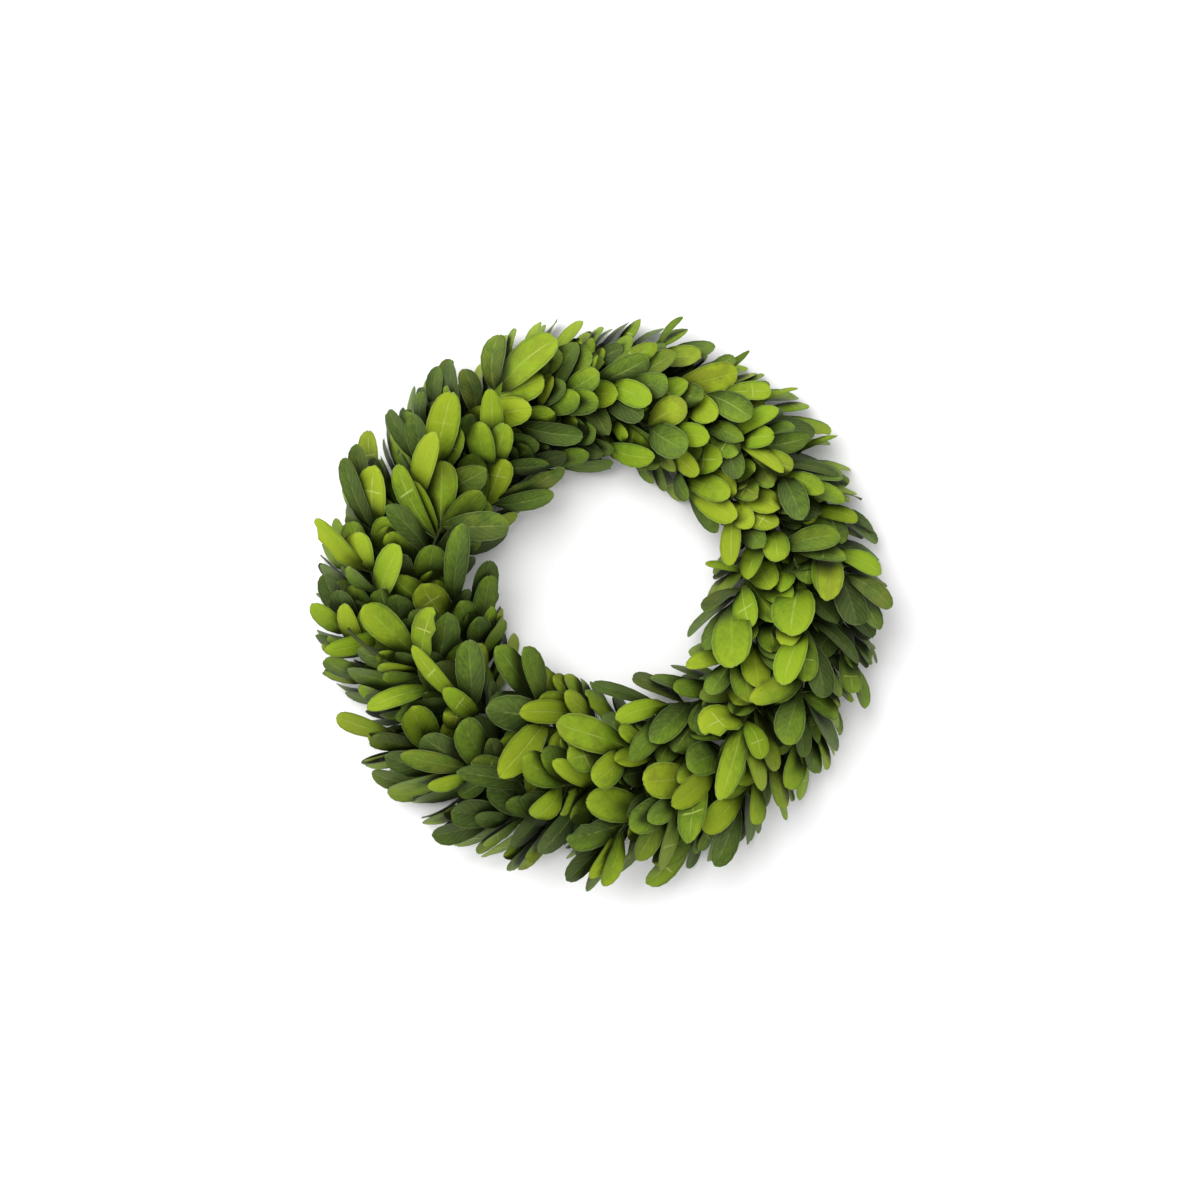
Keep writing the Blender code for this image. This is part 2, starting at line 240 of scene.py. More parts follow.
def place(run, across, height):
    """The point at a run clockwise along the ring, a distance outwards from it and a height.

    Its angle is the run over the ring's radius, and its reach is the radius plus the distance.
    """
    angle = -np.asarray(run) / RING_RADIUS
    reach = RING_RADIUS + np.asarray(across)
    x = RING_CENTRE[0] + reach * np.cos(angle)
    y = RING_CENTRE[1] + reach * np.sin(angle)
    return np.stack(np.broadcast_arrays(x, y, height), axis=-1)


def carry(path, radii, sides, closed=False, flat=None):
    """A round profile carried along a path, as points and quads, with a face over each open end.

    Each ring of points is the path's point plus the radius times (side cos t + rise sin t), where
    side is level and across the path and rise is square to both. Points below the height flat are
    lifted to it.
    """
    path = np.asarray(path, float)
    count = len(path)
    radii = np.broadcast_to(radii, count)
    if closed:
        along = np.roll(path, -1, axis=0) - np.roll(path, 1, axis=0)
    else:
        along = np.gradient(path, axis=0)
    along /= np.linalg.norm(along, axis=1, keepdims=True)
    side = np.cross(along, (0, 0, 1.0))
    side /= np.linalg.norm(side, axis=1, keepdims=True)
    rise = np.cross(side, along)
    turn = 2 * math.pi * (np.arange(sides) + 0.5) / sides
    ring = side[:, None] * np.cos(turn)[None, :, None] + rise[:, None] * np.sin(turn)[None, :, None]
    points = (path[:, None] + ring * radii[:, None, None]).reshape(-1, 3)
    if flat is not None:
        points[:, 2] = np.maximum(points[:, 2], flat)
    steps = count if closed else count - 1
    i, j = np.meshgrid(np.arange(steps), np.arange(sides), indexing="ij")
    here, ahead = i * sides, (i + 1) % count * sides
    next_j = (j + 1) % sides
    quads = np.stack([here + j, ahead + j, ahead + next_j, here + next_j], -1)
    faces = quads.reshape(-1, 4).tolist()
    if not closed:
        faces.append(list(range(sides)))
        faces.append(list(range(len(points) - 1, len(points) - 1 - sides, -1)))
    return points, faces


def join(shapes):
    """Several shapes of points and faces as one."""
    points, faces, start = [], [], 0
    for shape_points, shape_faces in shapes:
        points.append(shape_points)
        faces += [[corner + start for corner in face] for face in shape_faces]
        start += len(shape_points)
    return np.concatenate(points), faces


def solid(name, points, faces, sharp):
    """A mesh of these points and faces, smooth except at edges sharper than this, in degrees."""
    mesh = bpy.data.meshes.new(name)
    mesh.from_pydata(np.asarray(points).tolist(), [], faces)
    shape = bmesh.new()
    shape.from_mesh(mesh)
    bmesh.ops.recalc_face_normals(shape, faces=shape.faces)
    shape.to_mesh(mesh)
    shape.free()
    mesh.shade_smooth()
    mesh.set_sharp_from_angle(angle=math.radians(sharp))
    return link(name, mesh)


def painted_wire(name, colour, steel, roughness):
    """Thin paint over drawn wire: slight pooling and a few bare scuffs."""
    finish = Finish(name)
    where = object_place(finish)
    cloud = finish.noise(where, 90, detail=4)
    scuffs = finish.noise(where, 420, detail=3, roughness=0.65).rise(0.62, 0.7)
    paint = finish.mix(cloud.rise(0.35, 0.7), colour, tuple(POOLED * part for part in colour))
    return finish.coat(
        Base_Color=finish.mix(scuffs * 0.7, paint, steel),
        Roughness=roughness + 0.25 * cloud,
        Metallic=scuffs * 0.6,
        Normal=finish.bump(cloud + 0.4 * scuffs, 0.1 * MM, 0.5),
    )


rails = []
for rail_side in (1, -1):
    rail_run = np.arange(RAIL_STEPS) / RAIL_STEPS * 2 * math.pi * RING_RADIUS
    rail_path = place(rail_run, rail_side * RAIL_OFFSET, RAIL_HEIGHT)
    rails.append(carry(rail_path, RAIL_RADIUS, RAIL_SIDES, closed=True))
for bar_number in range(BARS):
    bar_run = (bar_number * WIRE_TURNS / BARS + BAR_TURN) * PITCH
    bar_reach = RAIL_OFFSET + RAIL_RADIUS
    bar_across = np.linspace(-bar_reach, bar_reach, BAR_STEPS)
    bar_path = place(bar_run, bar_across, BAR_RADIUS * BAR_FLAT)
    rails.append(carry(bar_path, BAR_RADIUS, RAIL_SIDES, flat=0.0))
    for rail_side in (1, -1):
        weld_along = np.linspace(-1, 1, WELD_STEPS)
        weld_run = bar_run + weld_along * WELD_RADIUS
        weld_path = place(weld_run, rail_side * RAIL_OFFSET, RAIL_HEIGHT - WELD_SINK)
        weld_radii = WELD_RADIUS * np.sqrt(WELD_END - weld_along**2)
        rails.append(carry(weld_path, weld_radii, WELD_SIDES, flat=WELD_LOWEST))
wire_frame = solid("wire_frame_painted", *join(rails), WIRE_SHARP)
frame_finish = painted_wire("frame_paint", FRAME_GREEN, FRAME_STEEL, FRAME_ROUGHNESS)
wire_frame.data.materials.append(frame_finish)
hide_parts("wire_frame")
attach(wire_frame, "root")

# One length of thin green florist's wire is wound tightly round the frame, and each turn draws
# down the bare feet of two sprigs. Its corners round off where it bends over the rails and twigs.
WIRE_RADIUS = 0.4 * MM
WIRE_SIDES = 8
RIGHT_CORNERS = [(9.8, 0.7), (9.8, 3.3), (7.4, 6.7), (3.1, 8.6)]
LEFT_CORNERS = [(-across, height) for across, height in reversed(RIGHT_CORNERS)]
WIRE_CORNERS = [(across * MM, height * MM) for across, height in RIGHT_CORNERS + LEFT_CORNERS]
WIRE_ROUNDING = (0.12, 0.88)
WIRE_GREEN, WIRE_STEEL = (0.035, 0.075, 0.03), (0.3, 0.28, 0.24)
WIRE_ROUGHNESS = 0.34

corner_count = WIRE_TURNS * len(WIRE_CORNERS)
corner_run = np.arange(corner_count) / len(WIRE_CORNERS) * PITCH
turn_corners = np.tile(np.array(WIRE_CORNERS), (WIRE_TURNS, 1))
corner_path = place(corner_run, turn_corners[:, 0], turn_corners[:, 1])
straights = corner_path[1:] - corner_path[:-1]
rounded = [corner_path[:-1] + straights * part for part in WIRE_ROUNDING]
wire_path = np.stack(rounded, axis=1).reshape(-1, 3)
wire_path = np.concatenate([corner_path[:1], wire_path, corner_path[-1:]])
wire_tube = carry(wire_path, WIRE_RADIUS, WIRE_SIDES)
binding_wire = solid("binding_wire_painted", *wire_tube, WIRE_SHARP)
wire_finish = painted_wire("wire_paint", WIRE_GREEN, WIRE_STEEL, WIRE_ROUGHNESS)
binding_wire.data.materials.append(wire_finish)
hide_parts("binding_wire")
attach(binding_wire, "root")

# Fifty sprigs of boxwood are laid shingle-wise round the frame. Each twig's bare foot lies in the
# bed between the rails, and the twig rises out of it between two turns of wire towards its tip. A
# lane is a direction round the ring's section: 0 is outwards, 90 degrees up and 180 inwards.
SPRIGS = 50
SPRIG_STEP = 31
PAIR_STAGGER = 0.2
TWIG_RADIUS = 0.85 * MM
TWIG_SIDES = 8
TWIG_SHARES = (0, 0.3, 0.65, 1.0)
BED_CENTRE = 4.4 * MM
BED_ACROSS = 6.4 * MM
BED_HEIGHT = 2.4 * MM
BED_CROWN = 0.96
TIP_CENTRE = 9 * MM
TIP_ACROSS = 22 * MM
TIP_HEIGHT = 20 * MM
TIP_LANES = (-5, 188)
FOOT_LENGTH = 13 * MM
LEAFY_LENGTH = 44 * MM
BEND_SHARE = 0.12
RISE_RUN = 5 * MM
OUTER_CROWDING = 1.2
FULLER_BELOW = 0.17
DRIFT = 9
OUTWARD_DRIFT = 8
REACH_RANGE = (0.93, 1.07)
LENGTH_RANGE = (0.93, 1.06)
SHIFT_TRIES = 40
STEP_SHIFT = 0.15
RUN_SHIFT = 0.12 * MM
TWIG_GAP = 0.25 * MM
ROOT_OFFSET = 0.4 * MM
SEAT_STEP = 0.01
LEAF_CURL_RADIUS = 26 * MM
UPWARD_LEAN = 0.7
SEED = 7


def seed_of(number):
    """The seed of a sprig's own random draws."""
    return SEED * 1000 + number


def outwards(run, lane):
    """The direction away from the ring's core at this run and lane."""
    angle = -run / RING_RADIUS
    level = math.cos(lane)
    return Vector((level * math.cos(angle), level * math.sin(angle), math.sin(lane)))


def fullness(run):
    """How full the foliage is here, as a share of its mean."""
    return 1 + FULLER_BELOW * math.sin(run / RING_RADIUS)


def wire_share(lane):
    """How far round a turn of binding wire lies where it crosses this lane, from 0 to 1."""
    upper = WIRE_CORNERS[1:-1]
    lanes = [math.atan2(height - BED_CENTRE, across) for across, height in upper]
    for corner, (low, high) in enumerate(zip(lanes, lanes[1:]), 1):
        if lane <= high:
            return (corner + (lane - low) / (high - low)) / len(WIRE_CORNERS)
    return len(upper) / len(WIRE_CORNERS)


class Sprig:
    """One twig's course, from its foot in the bed on the frame to its tip.

    Each attempt after the first lays the foot at a slightly different place.
    """

    def __init__(self, number, attempt):
        draw = random.Random(seed_of(number))
        shift = random.Random(attempt)
        slot = (number * SPRIG_STEP) % SPRIGS + 0.5
        slot += attempt * shift.uniform(-STEP_SHIFT, STEP_SHIFT)
        share = min(max(slot / SPRIGS, 0), 1) ** OUTER_CROWDING
        across = BED_ACROSS * (1 - 2 * share)
        crown = BED_HEIGHT * math.sqrt(1 - BED_CROWN * (across / BED_ACROSS) ** 2)
        self.bed = (across, BED_CENTRE + crown)
        self.bed_lane = math.atan2(crown, across)
        low, high = TIP_LANES
        drift = draw.uniform(-DRIFT, DRIFT) - OUTWARD_DRIFT * math.sin(self.bed_lane)
        self.tip_lane = math.radians(low + (high - low) * share + drift)
        between = number // 2 + 0.5 + (number % 2 - 0.5) * PAIR_STAGGER
        turn = between + wire_share(self.bed_lane)
        rise = LEAFY_LENGTH * BEND_SHARE / 2 + RISE_RUN
        self.start = turn * PITCH - rise + attempt * shift.uniform(-RUN_SHIFT, RUN_SHIFT)
        self.reach = draw.uniform(*REACH_RANGE)
        self.length = LEAFY_LENGTH * draw.uniform(*LENGTH_RANGE)

    def lane(self, share):
        """The lane at this share of the twig."""
        return self.bed_lane + share * (self.tip_lane - self.bed_lane)

    def point(self, share):
        """The twig's centre: share is 0 where it leaves the bed, 1 at its tip and less at its foot.

        Across and height go from the bed's place to the tip's with a rise of share^2 / 2b up to the
        bend's share b, and of share - b/2 from there, over its value at the tip.
        """
        if share <= 0:
            rise = 0
        elif share < BEND_SHARE:
            rise = share**2 / (2 * BEND_SHARE)
        else:
            rise = share - BEND_SHARE / 2
        rise /= 1 - BEND_SHARE / 2
        run = self.start + share * self.length
        reach = self.reach * fullness(run)
        across, height = self.bed
        across += rise * (reach * TIP_ACROSS * math.cos(self.tip_lane) - across)
        height += rise * (TIP_CENTRE + reach * TIP_HEIGHT * math.sin(self.tip_lane) - height)
        return Vector(place(run, across, height))

    def course(self):
        """The points of the twig's centreline, foot first."""
        return [self.point(share) for share in (-FOOT_LENGTH / self.length, *TWIG_SHARES)]

    def seat(self, share):
        """The point at this share on the straight run between two of the twig's points."""
        upper = next(i for i, corner in enumerate(TWIG_SHARES) if corner >= share)
        low, high = TWIG_SHARES[upper - 1], TWIG_SHARES[upper]
        return self.point(low).lerp(self.point(high), (share - low) / (high - low))

    def leaf_frame(self, share, yaw, pitch, roll, length):
        """A leaf's frame at its root: X across the blade, Y along it, Z out of its upper face.

        Yaw turns the leaf aside and pitch raises it from the twig. A turned leaf also rolls, by
        half its sideways length over the curl's radius, so that the leaves wrap round the ring.
        """
        root = self.seat(share)
        along = (root - self.seat(share - SEAT_STEP)).normalized()
        lane = self.lane(share)
        out = outwards(self.start + share * self.length, lane)
        out.z += UPWARD_LEAN * abs(math.cos(lane))
        out = (out - along * out.dot(along)).normalized()
        side = along.cross(out)
        turn = length / 2 * math.sin(yaw) / LEAF_CURL_RADIUS + roll
        out, side = (
            out * math.cos(turn) + side * math.sin(turn),
            side * math.cos(turn) - out * math.sin(turn),
        )
        level = along * math.cos(pitch) + out * math.sin(pitch)
        normal = out * math.cos(pitch) - along * math.sin(pitch)
        ahead = level * math.cos(yaw) + side * math.sin(yaw)
        leaf = Matrix((ahead.cross(normal), ahead, normal)).transposed().to_4x4()
        leaf.translation = root + side * math.copysign(ROOT_OFFSET, yaw)
        return leaf


def tube_tree(points, radius):
    """An open tube round a line of points, as a tree for the overlap test."""
    corners, faces = carry([tuple(point) for point in points], radius, TWIG_SIDES)
    return BVHTree.FromPolygons(corners.tolist(), faces[:-2])


def node_tree(name):
    """A node of the frame as a tree for the overlap test."""
    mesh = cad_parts[name].data
    corners = [vertex.co for vertex in mesh.vertices]
    return BVHTree.FromPolygons(corners, [tuple(face.vertices) for face in mesh.polygons])


metal = [node_tree("wire_frame"), node_tree("binding_wire")]
sprigs, twigs = [], []
for sprig_number in range(SPRIGS):
    for attempt in range(SHIFT_TRIES):
        sprig = Sprig(sprig_number, attempt)
        tree = tube_tree(sprig.course(), TWIG_RADIUS + TWIG_GAP)
        if not any(other.overlap(tree) for other in metal + twigs):
            break
    sprigs.append(sprig)
    twigs.append(tube_tree(sprig.course(), TWIG_RADIUS))

# Preserved boxwood leaves grow in pairs up each twig, with one at its tip. They are smooth blades,
# widest past the middle, on a short stalk. A site is its share of the twig, its yaw and pitch in
# degrees and its size. A leaf is its frame, length, width and arch, and its tone if uppermost.
PAIR_RAISED = 3


def pairs(*sites):
    """Both leaves of each pair, turned to either side, the second a little higher."""
    return [
        (share, turn * yaw, pitch + raised, size)
        for share, yaw, pitch, size in sites
        for turn, raised in ((1, 0), (-1, PAIR_RAISED))
    ]


LEAF_SITES = [
    (0.97, 0, 3, 0.95),
    *pairs((0.9, 30, 10, 1.0), (0.73, 43, 11, 1.06), (0.54, 36, 12, 1.0)),
    (0.34, 8, 17, 0.95),
]
LOWEST_SHARE = 0.5
FILLING_SITES = pairs(
    (0.82, 14, 24, 0.82),
    (0.64, 20, 22, 0.95),
    (0.46, 30, 17, 0.95),
    (0.32, 40, 18, 0.92),
    (0.2, 22, 22, 0.88),
    (0.66, 62, 6, 0.85),
    (0.44, 60, 4, 0.8),
)
LEAF_LENGTH = 23.7 * MM
LEAF_WIDTH = 10.4 * MM
LEAF_STATIONS = [(0.0, 0.0), (0.34, 0.41), (0.69, 0.5), (1.0, 0.18)]
LEAF_ARCH = 1.6 * MM
PETIOLE_SHARE = 0.16
OUTWARD_YAW = 16
SIDE_PITCH = 5
YAW_SCATTER = 9
PITCH_RANGE = (-2, 4)
ROLL_SCATTER = 9
SIZE_RANGE = (0.88, 1.14)
SLIMNESS_RANGE = (0.92, 1.08)
ARCH_RANGE = (-0.2, 1.2)
NEAR = 1.2 * LEAF_LENGTH
FLOOR_GAP = 0.6 * MM
HOLE_RADIUS = 36 * MM
HOLE_RISE = 5 * MM
OUTER_RADIUS = 102 * MM
# a bend is the yaw to either side, the pitch and the size that a leaf is tried with
BENDS = [
    (0, 0, 1.0),
    (0, 4, 1.0),
    (0, -4, 1.0),
    (8, 0, 1.0),
    (8, 4, 1.0),
    (0, 8, 0.97),
    (14, 2, 0.95),
    (8, -4, 0.95),
    (0, 12, 0.92),
    (14, 8, 0.9),
    (22, 0, 0.9),
    (0, -8, 0.85),
    (12, 14, 0.82),
]
BEND_TRIES = [
    (side * yaw, pitch, shrink)
    for yaw, pitch, shrink in BENDS
    for side in ((1, -1) if yaw else (1,))
]
FIRST_THICKNESS, FIRST_GAP = 0.64 * MM, 0.15 * MM
FILLING_THICKNESS, FILLING_GAP = 0.3 * MM, 0.06 * MM
PLUMB_START = 80 * MM


def blade_points(leaf_frame, length, width, arch, lift, start=0.0):
    """A blade's outline, station by station, left then right, lift above its middle surface.

    That surface's height at a share s of the length is the arch times 4s(1 - s). Stations before
    the start are drawn up to it.
    """
    points = []
    for share, half_width in LEAF_STATIONS:
        if share < start:
            half_width = LEAF_STATIONS[1][1] * start / LEAF_STATIONS[1][0]
            share = start
        height = arch * 4 * share * (1 - share) + lift
        for side in (-half_width, half_width):
            points.append(leaf_frame @ Vector((side * width, share * length, height)))
    return points


def slab(leaf, thickness, gap, start=0.0):
    """The space that a leaf takes up from its start on, with a gap all round, for overlap tests."""
    leaf_frame, length, width, arch = leaf[:4]
    lift = thickness / 2 + gap
    points = blade_points(leaf_frame, length + gap, width + 2 * gap, arch, lift, start)
    points += blade_points(leaf_frame, length + gap, width + 2 * gap, arch, -lift, start)
    count = 2 * len(LEAF_STATIONS)
    faces = [(0, 1, count + 1, count), (count - 2, 2 * count - 2, 2 * count - 1, count - 1)]
    for i in range(0, count - 2, 2):
        faces.append((i, i + 2, i + 3, i + 1))
        faces.append((count + i, count + i + 1, count + i + 3, count + i + 2))
        faces.append((i, count + i, count + i + 2, i + 2))
        faces.append((i + 1, i + 3, count + i + 3, count + i + 1))
    return BVHTree.FromPolygons(points, faces)


def taken_space(k, leaf, thickness):
    """What others stay clear of: sprig number, middle, slab, and the slab without its stalk."""
    middle = leaf[0] @ Vector((0, leaf[1] / 2, 0))
    return k, middle, slab(leaf, thickness, 0), slab(leaf, thickness, 0, PETIOLE_SHARE)


def in_bounds(leaf):
    """Whether the blade stays above the surface, out of the hole and within the outer reach."""
    for point in blade_points(*leaf[:4], 0):
        reach = math.hypot(point.x, point.y)
        middle = math.hypot(point.x - RING_CENTRE[0], point.y - RING_CENTRE[1] - HOLE_RISE)
        if point.z < FLOOR_GAP or middle < HOLE_RADIUS or reach > OUTER_RADIUS:
            return False
    return True


def pile_of(leaves):
    """The upper faces of these blades, as one tree that a plumb line can be dropped on."""
    points, faces = [], []
    for leaf in leaves:
        start = len(points)
        points += blade_points(*leaf[:4], FILLING_THICKNESS / 2)
        for i in range(start, len(points) - 2, 2):
            faces.append((i, i + 1, i + 3, i + 2))
    return BVHTree.FromPolygons(points, faces)


def drop(pile, x, y):
    """The height at which a plumb line meets the pile, or None beside it."""
    hit = pile.ray_cast(Vector((x, y, PLUMB_START)), Vector((0, 0, -1)))[0]
    return None if hit is None else hit.z


def covers(leaf, pile):
    """Whether this blade would lie over one of the pile's."""
    for point in blade_points(*leaf[:4], 0)[2:]:
        below = drop(pile, point.x, point.y)
        if below is not None and below < point.z:
            return True
    return False


def lay(sites, first_number, thickness, gap, laid, taken, kept_clear):
    """Lays each sprig's leaves site by site, as wide apart as the gap, and lists the places taken.

    A leaf whose place is taken is tried bent, and is left out if no bend clears it. Leaves of one
    twig may meet at their stalks. None lies over the pile that is kept clear.
    """
    for number, (share, yaw, pitch, size) in enumerate(sites, first_number):
        for k, sprig in enumerate(sprigs):
            if number < len(LEAF_SITES) and share < LOWEST_SHARE and fullness(sprig.start) < 1:
                continue
            draw = random.Random(seed_of(k) * 100 + number)
            lane = sprig.lane(share)
            more_yaw = draw.uniform(-YAW_SCATTER, YAW_SCATTER) - OUTWARD_YAW * math.sin(lane)
            more_pitch = draw.uniform(*PITCH_RANGE) + SIDE_PITCH * abs(math.cos(lane))
            roll = math.radians(draw.uniform(-ROLL_SCATTER, ROLL_SCATTER))
            full = size * draw.uniform(*SIZE_RANGE) * math.sqrt(fullness(sprig.start))
            slim = draw.uniform(*SLIMNESS_RANGE)
            arch = LEAF_ARCH * draw.uniform(*ARCH_RANGE)
            solid_trees = [twig for j, twig in enumerate(twigs) if j != k] + metal
            for try_yaw, try_pitch, shrink in BEND_TRIES:
                length = LEAF_LENGTH * full * shrink
                turned = math.radians(yaw + more_yaw + try_yaw)
                raised = math.radians(pitch + more_pitch + try_pitch)
                leaf_frame = sprig.leaf_frame(share, turned, raised, roll, length)
                leaf = (leaf_frame, length, LEAF_WIDTH * full * slim * shrink, arch)
                if not in_bounds(leaf) or kept_clear and covers(leaf, kept_clear):
                    continue
                tree = slab(leaf, thickness, gap)
                blade = slab(leaf, thickness, gap, PETIOLE_SHARE)
                middle = leaf_frame @ Vector((0, length / 2, 0))
                if any(other.overlap(tree) for other in solid_trees):
                    continue
                near = [t for t in taken if (t[1] - middle).length < NEAR]
                if any(t[2].overlap(tree) for t in near if t[0] != k):
                    continue
                if any(t[3].overlap(blade) for t in near if t[0] == k):
                    continue
                laid[k].append(leaf)
                taken.append(taken_space(k, leaf, thickness))
                break


laid = [[] for _ in sprigs]
lay(LEAF_SITES, 0, FIRST_THICKNESS, FIRST_GAP, laid, [], None)

# The leaves that lie uppermost give the wreath its pattern from the front, so each is laid where it
# shows, joined to a twig below it. A row is its stalk end x, y and tip x, y in millimetres, its
# width, and its tone from 0, dark, to 1, bright.
CROWN_LEAVES = [
    (-33, 74, -15, 90, 12.5, 0.82),
    (-28, 53, -27, 77, 10.2, 0.95),
    (-37, 54, -36, 73, 8.2, 0.9),
    (-34, 46, -33, 62, 7.9, 0.6),
    (-58, 38, -58, 59, 8.5, 0.95),
    (-52, 50, -49, 71, 11.8, 0.8),
    (-40, 43, -42, 62, 9.2, 0.6),
    (-61, 61, -59, 76, 6.9, 0.12),
    (-47, 68, -48, 80, 8.2, 0.12),
    (-45, 80, -36, 93, 9.2, 0.35),
    (-27, 52, -16, 71, 7.2, 0.5),
    (-22, 54, -6, 59, 7.2, 0.2),
    (-73, 47, -64, 64, 7.9, 0.15),
    (-68, 31, -78, 47, 11.2, 0.9),
    (-64, 30, -70, 47, 7.9, 0.6),
    (-87, 37, -89, 49, 7.2, 0.2),
    (-84, 16, -99, 28, 8.5, 0.9),
    (-71, 15, -85, 24, 10.5, 0.85),
    (-63, 1, -68, 18, 9.9, 0.95),
    (-67, 20, -75, 32, 9.2, 0.25),
    (-47, 9, -49, 27, 8.5, 0.3),
    (-50, 0, -54, 16, 10.5, 0.25),
    (-42, 20, -31, 26, 9.9, 0.25),
    (-34, 30, -16, 38, 7.2, 0.3),
    (-36, 40, -13, 47, 7.2, 0.22),
    (21, 75, 48, 80, 9.9, 0.98),
    (16, 61, 30, 69, 9.9, 0.9),
    (4, 64, 18, 69, 8.5, 0.7),
    (12, 61, 29, 51, 10.5, 0.35),
    (2, 53, 19, 49, 7.9, 0.65),
    (33, 56, 50, 56, 7.2, 0.4),
    (46, 62, 62, 67, 6.6, 0.8),
    (50, 56, 61, 57, 7.9, 0.8),
    (61, 56, 73, 57, 7.2, 0.3),
    (29, 47, 45, 36, 8.5, 0.65),
    (42, 44, 48, 30, 8.5, 0.97),
    (53, 38, 52, 25, 7.9, 0.9),
    (54, 41, 70, 28, 9.9, 0.25),
    (49, 49, 63, 44, 5.3, 0.85),
    (61, 42, 77, 37, 7.2, 0.6),
    (77, 41, 91, 29, 5.9, 0.8),
    (71, 30, 83, 23, 9.2, 0.45),
    (81, 17, 98, 9, 7.9, 0.85),
    (79, 14, 78, 0, 9.9, 0.85),
    (55, 24, 62, 14, 9.2, 0.65),
    (8, 86, 20, 90, 7.2, 0.6),
    (3, 80, 17, 84, 9.2, 0.3),
    (35, 83, 47, 86, 5.9, 0.3),
    (-87, -11, -100, -1, 7.9, 0.7),
    (-71, -11, -90, -1, 7.2, 0.88),
    (-81, -23, -95, -18, 6.6, 0.8),
    (-48, -19, -57, -2, 9.2, 0.9),
    (-30, -27, -45, -13, 9.9, 0.3),
    (-54, -29, -64, -15, 5.9, 0.9),
    (-36, -33, -54, -30, 7.2, 0.7),
    (-44, -38, -55, -40, 9.9, 0.75),
    (-21, -53, -39, -37, 12.5, 0.22),
    (-7, -36, -28, -37, 8.5, 0.85),
    (-59, -42, -81, -38, 7.2, 0.65),
    (-50, -57, -67, -51, 7.9, 0.45),
    (-31, -56, -49, -59, 7.9, 0.2),
    (-18, -59, -35, -61, 11.8, 0.88),
    (-15, -61, -23, -76, 9.2, 0.93),
    (-10, -62, -9, -73, 7.9, 0.85),
    (0, -56, -17, -57, 7.2, 0.9),
    (5, -44, -15, -43, 11.2, 0.85),
    (-36, -63, -49, -68, 6.6, 0.22),
    (-48, -64, -60, -64, 5.3, 0.75),
    (49, -32, 35, -45, 11.2, 0.85),
    (57, -7, 46, -23, 13.1, 0.68),
    (64, 9, 65, -12, 14.5, 0.72),
    (62, -13, 62, -29, 8.9, 0.97),
    (52, 5, 53, -9, 7.9, 0.7),
    (42, -12, 31, -14, 8.5, 0.75),
    (39, -20, 29, -22, 5.9, 0.75),
    (19, -38, 5, -40, 7.2, 0.93),
    (29, -39, 17, -48, 9.9, 0.35),
    (27, -53, 10, -55, 8.5, 0.4),
    (41, -50, 30, -57, 9.9, 0.38),
    (38, -57, 26, -62, 8.5, 0.85),
    (37, -64, 25, -72, 8.5, 0.92),
    (25, -69, 17, -77, 7.9, 0.4),
    (46, -55, 40, -67, 9.2, 0.65),
    (50, -41, 56, -55, 7.2, 0.8),
    (58, -26, 52, -34, 7.9, 0.75),
    (14, -72, 4, -85, 9.9, 0.7),
    (26, -74, 30, -82, 9.2, 0.5),
    (77, -29, 83, -40, 7.9, 0.5),
    (42, -72, 34, -77, 7.9, 0.7),
    (19, -57, 6, -57, 7.2, 0.85),
    (50, 79, 70, 76, 2.6, 0.62),
    (73, 59, 83.5, 58, 2.4, 0.5),
    (40, 90, 53, 87, 2.8, 0.35),
    (22, 95, 29, 100, 2.6, 0.4),
    (48, 20, 37, 13.5, 3.4, 0.6),
    (12, -34, -3, -28, 4.6, 0.04),
    (9, -82, 1, -98, 6.4, 0.65),
    (1, -79, -4, -95, 5.6, 0.85),
    (84, 36, 97, 24, 4.2, 0.1),
    (84, -6, 90, -22, 5.2, 0.1),
    (88, 12, 101, -2, 7.2, 0.3),
    (70, 53, 84, 44, 4.2, 0.06),
    (-30, -72, -44, -76, 6.6, 0.12),
    (-70, 52, -74, 66, 6.4, 0.1),
    (-56, 66, -56, 82, 6.4, 0.15),
    (-79, 40, -84, 54, 6.4, 0.12),
]
CROWN_SEATS = np.linspace(0.3, 0.97, 24)
CROWN_LENGTHS = (10 * MM, 29 * MM)
CROWN_TOP = 49.2 * MM
CROWN_LOWEST = 3 * MM
CROWN_SHARES = (0.3, 0.45, 0.6, 0.75, 0.9)
CROWN_ARCHES = (0.6 * MM, 1.2 * MM, 1.8 * MM, 2.6 * MM)
GROWTH_STEP = 0.02
LEAST_GROWTH, LEAST_TURN, LEAST_REACH = 0.34, 0.7, 0.8
HEIGHT_WEIGHT = 0.3
SEATS_TRIED = 60
CLOSE = 7 * MM
EDGE_FALL = 0.7
STEEPEST_SIDE = 0.8
WIDENING = 0.8
TIP_DIP = 0.1

seats = [(k, share, sprig.seat(share)) for k, sprig in enumerate(sprigs) for share in CROWN_SEATS]
seat_points = np.array([tuple(seat[2]) for seat in seats])
seat_ways = [root - sprigs[k].seat(share - GROWTH_STEP) for k, share, root in seats]
seat_ways = np.array([tuple(way) for way in seat_ways])
seat_ways /= np.linalg.norm(seat_ways, axis=1, keepdims=True)


